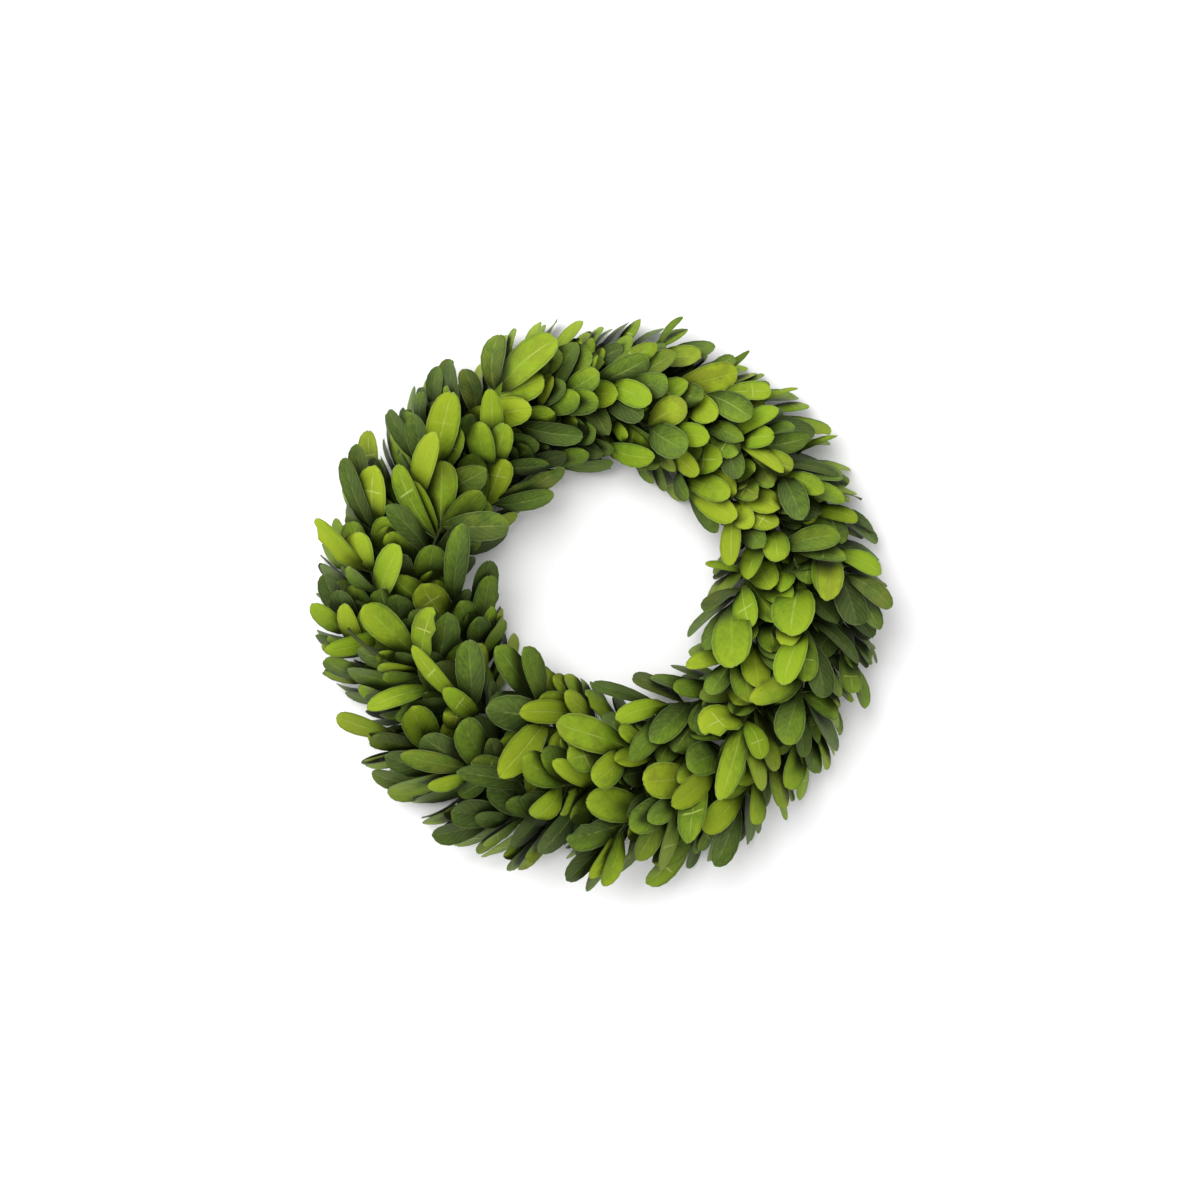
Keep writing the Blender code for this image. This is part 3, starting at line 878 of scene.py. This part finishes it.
def seats_for(stalk, tip):
    """The numbers of the seats that suit a blade with these ends, the best first.

    In plan, the twig's growth points within 70 degrees of the blade's, the blade turns by at most
    45 degrees to reach its tip, and it is at least 0.8 of its row's length. Of these seats the best
    lies near the stalk's end, and its height counts a third as much as its distance.
    """
    length = np.linalg.norm(tip - stalk)
    way = (tip - stalk) / length
    gap = np.linalg.norm(seat_points[:, :2] - stalk, axis=1)
    reach = np.linalg.norm(seat_points[:, :2] - tip, axis=1)
    fits = (reach > CROWN_LENGTHS[0]) & (reach < CROWN_LENGTHS[1])
    fits &= (seat_ways[:, :2] @ way > LEAST_GROWTH) & (reach > LEAST_REACH * length)
    fits &= (tip - seat_points[:, :2]) @ way > LEAST_TURN * reach
    cost = np.where(fits, gap - HEIGHT_WEIGHT * seat_points[:, 2], np.inf)
    return [number for number in np.argsort(cost)[:SEATS_TRIED] if fits[number]]


def side_slope(rows, half):
    """The mean slope across a blade, from the pile's heights at its left, middle and right.

    Where only one side lies over the pile, the blade falls to the other.
    """
    slopes = []
    for left, _, right in rows:
        if left is not None and right is not None:
            slopes.append((right - left) / (2 * half))
        elif (left is None) != (right is None):
            slopes.append(EDGE_FALL if left is None else -EDGE_FALL)
    mean = float(np.mean(slopes)) if slopes else 0
    return max(-STEEPEST_SIDE, min(STEEPEST_SIDE, mean))


def crown_leaf(stalk, tip, width, pile, lift, tested_side, steepest):
    """The blade that runs from the best twig near its stalk to its tip, draped over the pile.

    Its tip is at the least height at which the blade clears the pile by the lift at each tested
    share, in the middle and to the tested side, a share of the width. The first seat that lets it
    lie close is used, or else the closest, and steepest is the sine of its steepest climb.
    """
    closest, least = None, math.inf
    half = tested_side * width
    sides = half * np.array((-1, 0, 1))
    for k, _, root in (seats[number] for number in seats_for(stalk, tip)):
        start = np.array(root[:2])
        run = tip - start
        across = np.array([run[1], -run[0]]) / np.linalg.norm(run)
        rows = []
        for share in CROWN_SHARES:
            rows.append([drop(pile, *(start + run * share + across * side)) for side in sides])
        slope = side_slope(rows, half)
        needed = [(1.0, drop(pile, *tip))]
        for share, heights in zip(CROWN_SHARES, rows):
            lifts = [high - slope * side for high, side in zip(heights, sides) if high is not None]
            needed.append((share, max(lifts, default=None)))
        full_width = width * math.hypot(1, WIDENING * slope)
        for arch in CROWN_ARCHES:
            top = max(root.z - TIP_DIP * np.linalg.norm(run), CROWN_LOWEST)
            for share, height in needed:
                if height is not None:
                    lifted = height + lift - arch * 4 * share * (1 - share)
                    top = max(top, root.z + (lifted - root.z) / share)
            ahead = Vector((run[0], run[1], top - root.z))
            above = top - (needed[0][1] or max(height or 0 for _, height in needed))
            if top < CROWN_TOP and ahead.z < steepest * ahead.length and above < least:
                least = above
                side = Vector((across[0], across[1], slope))
                length = ahead.length
                ahead.normalize()
                side = (side - ahead * side.dot(ahead)).normalized()
                made = Matrix((side, ahead, side.cross(ahead))).transposed().to_4x4()
                made.translation = root
                closest = k, (made, length, full_width, arch)
        if least < CLOSE:
            break
    return closest


def run_of(row):
    """How far clockwise round the ring a row's stalk lies, in radians."""
    angle = math.atan2(row[1] * MM - RING_CENTRE[1], row[0] * MM - RING_CENTRE[0])
    return -angle % (2 * math.pi)


def nearer_at(height):
    """The share of its seeming distance from the view's centre at which a point really lies.

    The height counts from where the view's span is measured.
    """
    return 1 - height / VIEW_DISTANCE


def ends_in_plan(row, nearer):
    """The two ends of a row in plan, in metres, drawn in to where the camera sees them."""
    return [VIEW_CENTRE + nearer * (np.array(row[i:i + 2]) * MM - VIEW_CENTRE) for i in (0, 2)]


def whole_pile():
    """The pile of all the leaves laid so far."""
    return pile_of([leaf for leaves in laid for leaf in leaves])


# each try is a lift, the tested side and the steepest climb, and the later ones ask for less
CROWN_TRIES = ((0.35 * MM, 0.3, 0.78), (0.2 * MM, 0.15, 0.8), (0.05 * MM, 0.1, 0.85))
unlaid = []
for row in sorted(CROWN_LEAVES, key=run_of, reverse=True):
    pile = whole_pile()
    tip_height = drop(pile, row[2] * MM, row[3] * MM) or 0
    nearer = nearer_at(max(0, tip_height - VIEW_HEIGHT))
    stalk, tip = ends_in_plan(row, nearer)
    found = None
    for crown_try in CROWN_TRIES:
        found = found or crown_leaf(stalk, tip, row[4] * nearer * MM, pile, *crown_try)
    if found is None:
        unlaid.append(row)
    else:
        k, leaf = found
        laid[k].append((*leaf, row[5]))

# Where a sprig forks low down, its side shoot shows between the leaves as a bare stem or cut stub.
# A row is the shoot's start x, y and end x, y in millimetres, and its radius at each end.
SHOOTS = [
    (-68, -30, -90, -10, 1.0, 0.6),
    (-70, -33, -79, -26, 0.95, 0.8),
    (-41, -33, -55, -19, 0.95, 0.6),
]
SHOOT_HEIGHT = 26 * MM
SHOOT_SAMPLES = 14
SHOOT_SPREAD = 2
SHOOT_LIFT = 0.9 * MM
SHOOT_BESIDE = 1.1 * MM
SHOOT_STEEPEST = 0.7
SHOOT_BELOW_TOP = 1 * MM
SHOOT_BEND = 0.5


def shoot(row, pile):
    """A side shoot: its sprig's number, its path and its radii.

    It leaves the twig nearest its start and rises no steeper than 35 degrees until it lies over
    the highest leaf at each sample and its neighbours. Its bend in plan is a half sine wave.
    """
    start, end = ends_in_plan(row, nearer_at(SHOOT_HEIGHT))
    gap = np.linalg.norm(seat_points[:, :2] - start, axis=1)
    k, _, root = seats[np.argmin(gap - HEIGHT_WEIGHT * seat_points[:, 2])]
    root_spot = np.array(root[:2])
    way = (end - start) / np.linalg.norm(end - start)
    beside = np.array((way[1], -way[0])) * SHOOT_BESIDE
    shares = np.linspace(0, 1, SHOOT_SAMPLES)[:, None]
    bend = np.sin(math.pi * shares) * (start - (root_spot + end) / 2) * SHOOT_BEND
    plan = root_spot + (end - root_spot) * shares + bend
    heights = []
    for spot in plan:
        heights.append(max(drop(pile, *(spot + beside * side)) or 0 for side in (-1, 0, 1)))
    wide = np.pad(heights, SHOOT_SPREAD, "edge")
    spread = [wide[i:i + SHOOT_SAMPLES] for i in range(2 * SHOOT_SPREAD + 1)]
    heights = np.max(spread, axis=0) + SHOOT_LIFT
    runs = np.linalg.norm(plan - plan[0], axis=1)
    heights = np.minimum(heights, root.z + SHOOT_STEEPEST * runs)
    path = np.column_stack([plan, np.minimum(heights, CROWN_TOP - SHOOT_BELOW_TOP)])
    return k, path, np.interp(range(len(path)), (0, len(path) - 1), row[4:6]) * MM


shoots = [[] for _ in sprigs]
pile = whole_pile()
for row in SHOOTS:
    k, *path_and_radii = shoot(row, pile)
    shoots[k].append(path_and_radii)

# A blade is a thin lens of two skins that meet at its rim. It is cupped, folded a little along its
# midrib, waved at its rim and, where it was handled, torn along one side.
BLADE_ROWS = 8
BLADE_COLUMNS = 5
BLADE_SHARE = np.sin(math.pi / 2 * np.linspace(0, 1, BLADE_ROWS))
BLADE_ACROSS = np.linspace(-1, 1, BLADE_COLUMNS)
BLADE_THICKNESS = 0.34 * MM
STALK_HALF = 0.42 * MM
STALK_THINNESS = 0.55
OUTLINE_RISE, OUTLINE_FALL, OUTLINE_SCALE = 0.8, 0.45, 1.14
OUTLINE_FALLS = (0.85, 1.15)
OUTLINE_END = 1.004
TIP_ROUNDING, TIP_POWER = 0.02, 8
NOTCHES, NOTCH_POWER = (0, 0.03), 16
SWEEPS = (-0.05, 0.05)
FOLDS, CUPS = (0, 0.12), (-0.12, 0.12)
WAVES, WAVE_TURNS = (0, 0.3 * MM), 1.3
TWISTS = (-0.4, 0.4)
DROOPS = (0, 0.5)
TORN_SHARE = 0.02
TEAR = np.array([1, 1, 0.95, 0.62, 0.8, 0.4, 0.66, 0.5])
LOWEST = 0.1 * MM


def blades(leaves, draw):
    """Every blade of a sprig at once: points (leaf, skin, row, column, xyz) in the wreath's frame.

    Along the blade, a row's share of the length is s = sin(90 degrees * row / last). Its half
    width is the leaf's width * scale * s^rise * (end - s)^fall, at least the stalk's, and a torn
    side's is cut to a jagged share of it. Across it, a column is at u from -1 to 1. The middle
    line sweeps aside by s^2, and the tip is rounded back by u^2 * s^8 and notched by
    (1 - |u|)^2 * s^16. The height is the leaf's arch * 4s(1 - s), plus (fold * |u| + cup * u^2) *
    half width * (3s, at most 1), plus u * wave * sin(1.3 turns along the blade), plus
    twist * u * s, less droop * s^4. Each skin lies half the thickness * sqrt(1 - u^2) from it,
    and no point lies under the lowest height.
    """
    count = len(leaves)
    frames = np.array([np.array(leaf[0]) for leaf in leaves])
    length, width, arch = (np.array([leaf[i] for leaf in leaves])[:, None, None] for i in (1, 2, 3))

    def each(low, high):
        """A draw for each blade."""
        return draw.uniform(low, high, (count, 1, 1))

    share, across = BLADE_SHARE[None, :, None], BLADE_ACROSS[None, None, :]
    fall = (OUTLINE_END - share) ** (OUTLINE_FALL * each(*OUTLINE_FALLS))
    widest = OUTLINE_SCALE * share**OUTLINE_RISE * fall
    half_width = np.maximum(width * widest, STALK_HALF)
    torn = (each(0, 1) < TORN_SHARE) * (across * np.sign(each(-1, 1)) > 0)
    half_width = half_width * np.where(torn, TEAR[None, :, None], 1.0)
    notch = each(*NOTCHES) * (1 - abs(across)) ** 2 * share**NOTCH_POWER
    x = across * half_width + each(*SWEEPS) * length * share**2
    y = length * (share - notch - TIP_ROUNDING * across**2 * share**TIP_POWER)
    wave = each(*WAVES) * np.sin(2 * math.pi * (WAVE_TURNS * share + each(0, 1)))
    hollow = each(*FOLDS) * abs(across) + each(*CUPS) * across**2
    z = arch * 4 * share * (1 - share) + hollow * half_width * np.minimum(1, 3 * share)
    z = z + across * wave + each(*TWISTS) * MM * across * share
    z = z - each(*DROOPS) * MM * share**4
    skin = BLADE_THICKNESS / 2 * np.sqrt(1 - across**2) * np.minimum(1, STALK_THINNESS + share)
    skin[:, -1] = 0
    skins = [np.stack(np.broadcast_arrays(x, y, z + side * skin), -1) for side in (1, -1)]
    turned = np.einsum("nij,nkrcj->nkrci", frames[:, :3, :3], np.stack(skins, 1))
    placed = turned + frames[:, None, None, None, :3, 3]
    placed[..., 2] = np.maximum(placed[..., 2], LOWEST)
    return placed


def grid_quads(numbers):
    """The quads between the numbered points of a grid."""
    corners = [numbers[:-1, :-1], numbers[:-1, 1:], numbers[1:, 1:], numbers[1:, :-1]]
    return np.stack(corners, -1).reshape(-1, 4)


def blade_faces():
    """The quads of one blade, and how many points it has: the lower skin shares the upper's rim."""
    upper = np.arange(BLADE_ROWS * BLADE_COLUMNS).reshape(BLADE_ROWS, BLADE_COLUMNS)
    lower = upper.copy()
    inner = (BLADE_ROWS - 2) * (BLADE_COLUMNS - 2)
    lower[1:-1, 1:-1] = upper.size + np.arange(inner).reshape(BLADE_ROWS - 2, -1)
    return np.concatenate([grid_quads(upper), grid_quads(lower)[:, ::-1]]), upper.size + inner


QUADS, BLADE_POINTS = blade_faces()

# No leaf grows through another. Of two blades that cross beyond their stalks, the newly filled in
# goes first, then the others before the uppermost, and among equals the lower. The uppermost may
# graze each other at their rims. Then leaves are filled in where it left gaps, in three rounds.
STALK_ROWS = 2
GRAZING_PAIRS = 3
UPPERMOST, LAID, FILLED_IN = 2, 1, 0
HEIGHT_RANK = 0.5
FILLING_ROUNDS = 3
skin_points = np.arange((BLADE_ROWS - STALK_ROWS) * BLADE_COLUMNS).reshape(-1, BLADE_COLUMNS)
SKIN_QUADS = grid_quads(skin_points).tolist()
draws = [np.random.default_rng(seed_of(number)) for number in range(SPRIGS)]
grown = [np.zeros((0, 2, BLADE_ROWS, BLADE_COLUMNS, 3)) for _ in sprigs]


def is_uppermost(leaf):
    """Whether a leaf is one of the listed uppermost ones, which alone have a tone of their own."""
    return len(leaf) > 4


def grow_and_thin():
    """Shapes the leaves laid since the last call, then drops those that cross a better one."""
    ranked = []
    for k, leaves in enumerate(laid):
        before = len(grown[k])
        if len(leaves) > before:
            grown[k] = np.concatenate([grown[k], blades(leaves[before:], draws[k])])
        for i, (leaf, grid) in enumerate(zip(leaves, grown[k])):
            points = grid[0, STALK_ROWS:].reshape(-1, 3)
            rank = UPPERMOST if is_uppermost(leaf) else FILLED_IN if i >= before > 0 else LAID
            rank += HEIGHT_RANK * points[:, 2].mean() / CROWN_TOP
            tree = BVHTree.FromPolygons(points.tolist(), SKIN_QUADS)
            ranked.append((rank, k, i, points.min(0), points.max(0), tree))
    ranked.sort(key=lambda leaf: -leaf[0])
    stays = [np.zeros(len(leaves), bool) for leaves in laid]
    trees, lows, highs = [], np.zeros((0, 3)), np.zeros((0, 3))
    for rank, k, i, low, high, tree in ranked:
        near = np.flatnonzero(np.all((lows < high) & (highs > low), axis=1))
        allowed = GRAZING_PAIRS if rank >= UPPERMOST else 0
        if any(len(tree.overlap(trees[j])) > allowed for j in near):
            continue
        stays[k][i] = True
        trees.append(tree)
        lows, highs = np.vstack([lows, low]), np.vstack([highs, high])
    for k, stay in enumerate(stays):
        grown[k] = grown[k][stay]
        laid[k] = [leaf for leaf, kept in zip(laid[k], stay) if kept]


grow_and_thin()
for filling in range(FILLING_ROUNDS):
    taken = []
    for k, leaves in enumerate(laid):
        taken += [taken_space(k, leaf, FILLING_THICKNESS) for leaf in leaves]
    first_number = len(LEAF_SITES) + filling * len(FILLING_SITES)
    uppermost = pile_of([leaf for leaves in laid for leaf in leaves if is_uppermost(leaf)])
    lay(FILLING_SITES, first_number, FILLING_THICKNESS, FILLING_GAP, laid, taken, uppermost)
    grow_and_thin()

# Deep among the leaves little light comes in, so shade is painted into a leaf's colour: the
# closer another leaf lies over it, the darker it is painted.
SHELTER_SHARES, SHELTER_LANES = (0.12, 0.32, 0.52, 0.72, 0.92), (-0.8, 0, 0.8)
SHELTER_REACH = 9 * MM
foliage = whole_pile()


def shelter(leaf):
    """How close under others a blade's 15 tested places lie: 0 is open and 1 touches another."""
    leaf_frame, length, width, arch = leaf[:4]
    found = []
    for share in SHELTER_SHARES:
        for lane in SHELTER_LANES:
            height = arch * 4 * share * (1 - share) + FILLING_THICKNESS
            spot = leaf_frame @ Vector((lane * width / 2, share * length, height))
            gap = foliage.ray_cast(spot, leaf_frame.col[2].xyz, SHELTER_REACH)[3]
            found.append(0 if gap is None else 1 - gap / SHELTER_REACH)
    return found


def shelter_grids(leaves):
    """The shelter at each row and column of every blade, blended between its tested places."""
    found = np.reshape([shelter(leaf) for leaf in leaves], (len(leaves), len(SHELTER_SHARES), -1))
    rows = [np.interp(BLADE_SHARE, SHELTER_SHARES, one) for one in np.eye(len(SHELTER_SHARES))]
    columns = [np.interp(BLADE_ACROSS, SHELTER_LANES, one) for one in np.eye(len(SHELTER_LANES))]
    return np.einsum("ir,nij,jc->nrc", rows, found, columns)


# The leaves of one wreath differ widely: most are mid green, some a bright yellow green and some a
# dark blue green, in loose patches round the ring, because each bush and each age of leaf differs.
# A row is a patch's place x, y and size in millimetres, and how much brighter it is.
TONE_LOBES = [
    (-46, 21, 14, -0.24),
    (-54, 70, 14, -0.22),
    (-19, 47, 12, -0.3),
    (-28, 73, 12, 0.3),
    (34, 76, 13, 0.2),
    (67, 62, 10, -0.34),
    (46, 37, 9, 0.32),
    (53, -12, 16, 0.16),
    (87, -14, 12, -0.3),
    (35, -65, 20, 0.14),
    (-14, -48, 11, 0.22),
    (-39, -47, 12, -0.3),
    (0, -31, 8, -0.3),
    (-64, -18, 14, 0.16),
    (-11, -79, 9, -0.3),
]
MEAN_TONE = 0.45
SPRIG_SPREAD = 0.16
LEAF_SPREAD = 0.36
UNLAID_REACH = 6
UNLAID_PULL = 0.9


def tones(middles, sprig_draw, draw):
    """Each leaf's tone, from 0, dark blue green, to 1, bright yellow green.

    It is the mean tone plus the sprig's chance and the leaf's own, plus each patch's amount *
    exp(-(distance / size)^2). Near the place of an uppermost leaf that was left out, it turns
    towards that leaf's tone.
    """
    x, y = middles[:, 0] / MM, middles[:, 1] / MM
    found = MEAN_TONE + sprig_draw * SPRIG_SPREAD + draw.uniform(-1, 1, len(x)) * LEAF_SPREAD
    for across, up, size, amount in TONE_LOBES:
        found += amount * np.exp(-((x - across) ** 2 + (y - up) ** 2) / size**2)
    for stalk_x, stalk_y, tip_x, tip_y, _, tone in unlaid:
        gap = (x - (stalk_x + tip_x) / 2) ** 2 + (y - (stalk_y + tip_y) / 2) ** 2
        found += (tone - found) * UNLAID_PULL * np.exp(-gap / UNLAID_REACH**2)
    return np.clip(found, 0, 1)


TONE_STOPS = [
    (0.0, (0.017, 0.031, 0.005)),
    (0.25, (0.042, 0.075, 0.01)),
    (0.5, (0.105, 0.175, 0.012)),
    (0.75, (0.195, 0.275, 0.013)),
    (1.0, (0.245, 0.315, 0.015)),
]
FRESH = (0.13, 0.27, 0.01)
# the grey of the painted sheen on dark blades, also used in random patches
GREYER = (0.09, 0.125, 0.042)
PALE = (0.38, 0.45, 0.11)
OLIVE = (0.11, 0.115, 0.014)
UNDERSIDE = (0.14, 0.19, 0.07)
BROWN = (0.07, 0.035, 0.012)
# the near-black of painted shade: at the stalk, inside the rim and under other leaves
PAINTED_SHADE = (0.005, 0.008, 0.0015)
YOUNG_BARK = ((0.016, 0.024, 0.006), (0.05, 0.058, 0.016))
WOODY_BARK = ((0.03, 0.02, 0.01), (0.1, 0.065, 0.035))
CUT_WOOD = (0.42, 0.33, 0.18)


def leaf_finish():
    """Preserved boxwood leaf: smooth and satin, with a pale midrib, faint veins and a thin rim.
    Light and shade are also painted into its colour: shade at its stalk, inside its rim and under
    other leaves, a lighter and a darker side, and a grey sheen on dark blades.
    """
    finish = Finish("preserved_leaf")
    across, along, _ = finish.node("UVMap", {"uv_map": "leaf"}, {}).axes()
    tone, chance, under, sheltered = (
        finish.node("Attribute", {"attribute_name": name}, {}, output="Fac")
        for name in ("tone", "chance", "under", "shelter")
    )
    where = object_place(finish)
    cloud = finish.noise(where, 170, detail=3)
    patches = finish.noise(where, 60, detail=1)
    mottle = finish.noise(where, 520, detail=3, roughness=0.6)
    side = abs(across)

    # painted light and shade within each blade: one side lighter than the other by the blade's
    # chance, and darker towards the stalk and lighter towards the tip; it is also a little darker
    # at its edges
    painted_light_side = (7.7 * chance).fract() - 0.5
    shade = tone + 0.3 * (cloud - 0.5) + 0.2 * (patches - 0.5) + 0.34 * (mottle - 0.5)
    shade = shade + 0.3 * painted_light_side * across + 0.28 * (along - 0.6) - 0.1 * side.rise(0.75, 1)
    blade = finish.node("ValToRGB", {"stops": TONE_STOPS}, {0: shade})
    fresh = (3.3 * chance).fract().rise(0.45, 0.9) * tone.rise(0.5, 0.8)
    blade = finish.mix(0.4 * fresh, blade, FRESH)
    olive = (17.3 * chance).fract().rise(0.72, 0.95)
    blade = finish.mix(0.5 * olive * cloud.rise(0.35, 0.6), blade, OLIVE)

    # dark blades get a painted grey sheen, stronger on one half as if light caught that side of the
    # fold, with a little grey in random patches, and every blade gets painted shade towards its
    # stalk
    painted_sheen_half = (0.3 + 0.7 * across.rise(-0.05, 0.05)) * tone.rise(0.62, 0.2)
    blade = finish.mix(0.32 * painted_sheen_half + 0.05 * patches, blade, GREYER)
    blade = finish.mix(0.6 * along.rise(0.5, 0.02), blade, PAINTED_SHADE)

    # the midrib is pale along part of its length, and handled blades have a pale crease across it
    midrib = side.rise(0.075, 0.02) * along.rise(0.97, 0.8) * cloud.rise(0.3, 0.55)
    often = (5.1 * chance).fract()
    crease = abs(along - 0.66 - 0.04 * across).rise(0.016, 0.004) * side.rise(0.8, 0.45)
    crease = crease * often.rise(0.7, 0.74) * tone.rise(0.3, 0.5)
    blade = finish.mix(midrib * (0.1 + 0.6 * often * tone), blade, PALE)
    blade = finish.mix(0.75 * crease, blade, PALE)

    # side veins slope forward from the midrib; the rim is a thin pale line, with a thin dark line
    # of painted shade just inside it, for the shade where a leaf meets those next to it
    veins = (52 * along - 17 * side).sine()
    blade = finish.mix(0.05 * veins.rise(0.5, 1), blade, PALE)
    rim = side.rise(0.88, 0.99) + along.rise(0.975, 0.998)
    painted_edge_shade = side.rise(0.74, 0.88) * side.rise(0.95, 0.9)
    blade = finish.mix(0.24 * painted_edge_shade, blade, PAINTED_SHADE)
    blade = finish.mix(0.4 * rim, blade, UNDERSIDE)

    specks = finish.noise(where, 900, detail=2).rise(0.735, 0.76)
    blade = finish.mix(0.8 * specks, blade, BROWN)
    blade = finish.mix(0.7 * under, blade, UNDERSIDE)
    # painted shade on the upper face, darker the closer another leaf lies over it
    blade = finish.mix(0.92 * (1 - under) * sheltered.rise(0.0, 0.65), blade, PAINTED_SHADE)

    relief = 0.7 * cloud - 0.4 * side.rise(0.1, 0.0) + 0.06 * veins + 0.12 * mottle + 0.3 * rim
    return finish.coat(
        Base_Color=blade,
        Roughness=0.42 + 0.14 * cloud + 0.16 * under,
        Normal=finish.bump(relief, 0.28 * MM, 0.7),
        Specular_IOR_Level=0.13,
        Specular_Tint=(0.85, 1.0, 0.35, 1.0),
    )


def twig_finish():
    """Young boxwood: green-brown bark with fine ridges along it, browner towards its woody foot."""
    finish = Finish("boxwood_twig")
    _, along, _ = finish.node("UVMap", {"uv_map": "leaf"}, {}).axes()
    where = object_place(finish)
    grain = finish.noise(where, 620, detail=4, roughness=0.6)
    young = finish.mix(grain, *YOUNG_BARK)
    woody = finish.mix(grain, *WOODY_BARK)
    bark = finish.mix(along.rise(0.6, 0.05), young, woody)
    cut = along.rise(-0.285, -0.3)
    return finish.coat(
        Base_Color=finish.mix(cut, bark, CUT_WOOD),
        Roughness=0.62 + 0.2 * grain,
        Normal=finish.bump(grain, 0.2 * MM, 0.7),
        Specular_IOR_Level=0.16,
    )


# A sprig is one twig with its leaves: thin bark, a slight knuckle at each pair and a pointed bud.
# The binding wire alone holds it, by its bare foot.
TWIG_FOOT, TWIG_SLENDER = 0.94, 0.55
TWIG_SAMPLES = 26
TWIG_END = 0.965
KNUCKLE = 0.22
KNUCKLE_SHARE = 0.02
PAIR_SHARES = (0.2, 0.34, 0.54, 0.73, 0.9)
BUD_SHARES = (0.985, 1.01, 1.04, 1.07)
BUD_RADII = (0.62 * MM, 0.95 * MM, 0.7 * MM, 0.12 * MM)
SHOOT_BARK = (0.3, 0.7)
LEAF_SHARP = 70
FOLIAGE_SLOTS = ("leaf_mid_green", "leaf_yellow_green", "leaf_dark_green")


def twig(sprig):
    """A twig's points and faces, with the share along it of each point.

    Its radius falls evenly from foot to tip, times 1 + knuckle * exp(-(distance / size)^2) at each
    pair, and the bud's own radii end it.
    """
    foot = -FOOT_LENGTH / sprig.length
    shares = np.concatenate([np.linspace(foot, TWIG_END, TWIG_SAMPLES), BUD_SHARES])
    corners = np.array([foot, *TWIG_SHARES])
    course = np.array([tuple(point) for point in sprig.course()])
    path = np.stack([np.interp(shares, corners, course[:, axis]) for axis in range(3)], -1)
    past = np.maximum(shares - 1, 0)[:, None] / (1 - TWIG_SHARES[-2])
    path += past * (course[-1] - course[-2])
    radii = TWIG_RADIUS * (TWIG_FOOT - (TWIG_FOOT - TWIG_SLENDER) * np.clip(shares, 0, 1))
    for pair in PAIR_SHARES:
        radii *= 1 + KNUCKLE * np.exp(-(((shares - pair) / KNUCKLE_SHARE) ** 2))
    radii[-len(BUD_SHARES):] = BUD_RADII
    points, faces = carry(path, radii, TWIG_SIDES)
    return points, faces, np.repeat(shares, TWIG_SIDES)


def bark(number, sprig):
    """A sprig's twig and side shoots: points, faces and each point's place on the leaf map."""
    points, faces, shares = twig(sprig)
    for path, radii in shoots[number]:
        points, faces = join([(points, faces), carry(path, radii, TWIG_SIDES)])
        shoot_shares = np.repeat(np.linspace(*SHOOT_BARK, len(path)), TWIG_SIDES)
        shares = np.concatenate([shares, shoot_shares])
    return points, faces, np.stack([np.zeros_like(shares), shares], -1)


def in_mesh_order(upper, lower):
    """Values on the grids of both skins, blade by blade, as the blade's points are numbered."""
    parts = (upper, lower[:, 1:-1, 1:-1])
    return np.concatenate([part.reshape(len(part), -1, *part.shape[3:]) for part in parts], axis=1)


def store(mesh, name, domain, values, rest):
    """Gives a mesh a value for each point or face, with 0 for the rest, which is bark."""
    padded = np.concatenate([values, np.zeros(rest)]).astype(np.float32)
    mesh.attributes.new(name, "FLOAT", domain).data.foreach_set("value", padded)


def dress(number, sprig, leaves):
    """Makes a sprig's mesh, with its leaf map, its tones, its shelter and its two finishes."""
    draw, grids, count = draws[number], grown[number], len(leaves)
    blade_points = in_mesh_order(grids[:, 0], grids[:, 1]).reshape(-1, 3)
    on_blade = np.stack(np.meshgrid(BLADE_ACROSS, BLADE_SHARE), -1)[None]
    blade_map = np.tile(in_mesh_order(on_blade, on_blade)[0], (count, 1))
    quads = (QUADS[None] + BLADE_POINTS * np.arange(count)[:, None, None]).reshape(-1, 4)
    bark_points, bark_faces, bark_map = bark(number, sprig)
    points, faces = join([(blade_points, quads.tolist()), (bark_points, bark_faces)])
    made = solid(f"sprig_{number + 1:02d}_leaves", points, faces, LEAF_SHARP)

    mesh = made.data
    corner_points = np.empty(len(mesh.loops), np.int32)
    mesh.loops.foreach_get("vertex_index", corner_points)
    leaf_map = np.concatenate([blade_map, bark_map])[corner_points]
    mesh.uv_layers.new(name="leaf").uv.foreach_set("vector", leaf_map.astype(np.float32).ravel())

    sheltered = shelter_grids(leaves)
    sheltered = in_mesh_order(sheltered, sheltered).ravel()
    store(mesh, "shelter", "POINT", sheltered, len(bark_points))
    middles = grids[:, 0, BLADE_ROWS // 2, BLADE_COLUMNS // 2]
    leaf_tones = tones(middles, draw.uniform(-1, 1), draw)
    for i, leaf in enumerate(leaves):
        if is_uppermost(leaf):
            leaf_tones[i] = leaf[4]
    chances = draw.uniform(0, 1, count)
    skins = np.repeat((0.0, 1.0), len(QUADS) // 2)
    store(mesh, "tone", "FACE", np.repeat(leaf_tones, len(QUADS)), len(bark_faces))
    store(mesh, "chance", "FACE", np.repeat(chances, len(QUADS)), len(bark_faces))
    store(mesh, "under", "FACE", np.tile(skins, count), len(bark_faces))

    for finish in finishes:
        mesh.materials.append(finish)
    finish_numbers = np.zeros(len(mesh.polygons), np.int32)
    finish_numbers[len(quads):] = 1
    mesh.polygons.foreach_set("material_index", finish_numbers)
    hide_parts(f"sprig_{number + 1:02d}")
    FOLIAGE_SLOTS[number % len(FOLIAGE_SLOTS)]
    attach(made, "root")


finishes = (leaf_finish(), twig_finish())
for number, (sprig, leaves) in enumerate(zip(sprigs, laid)):
    dress(number, sprig, leaves)
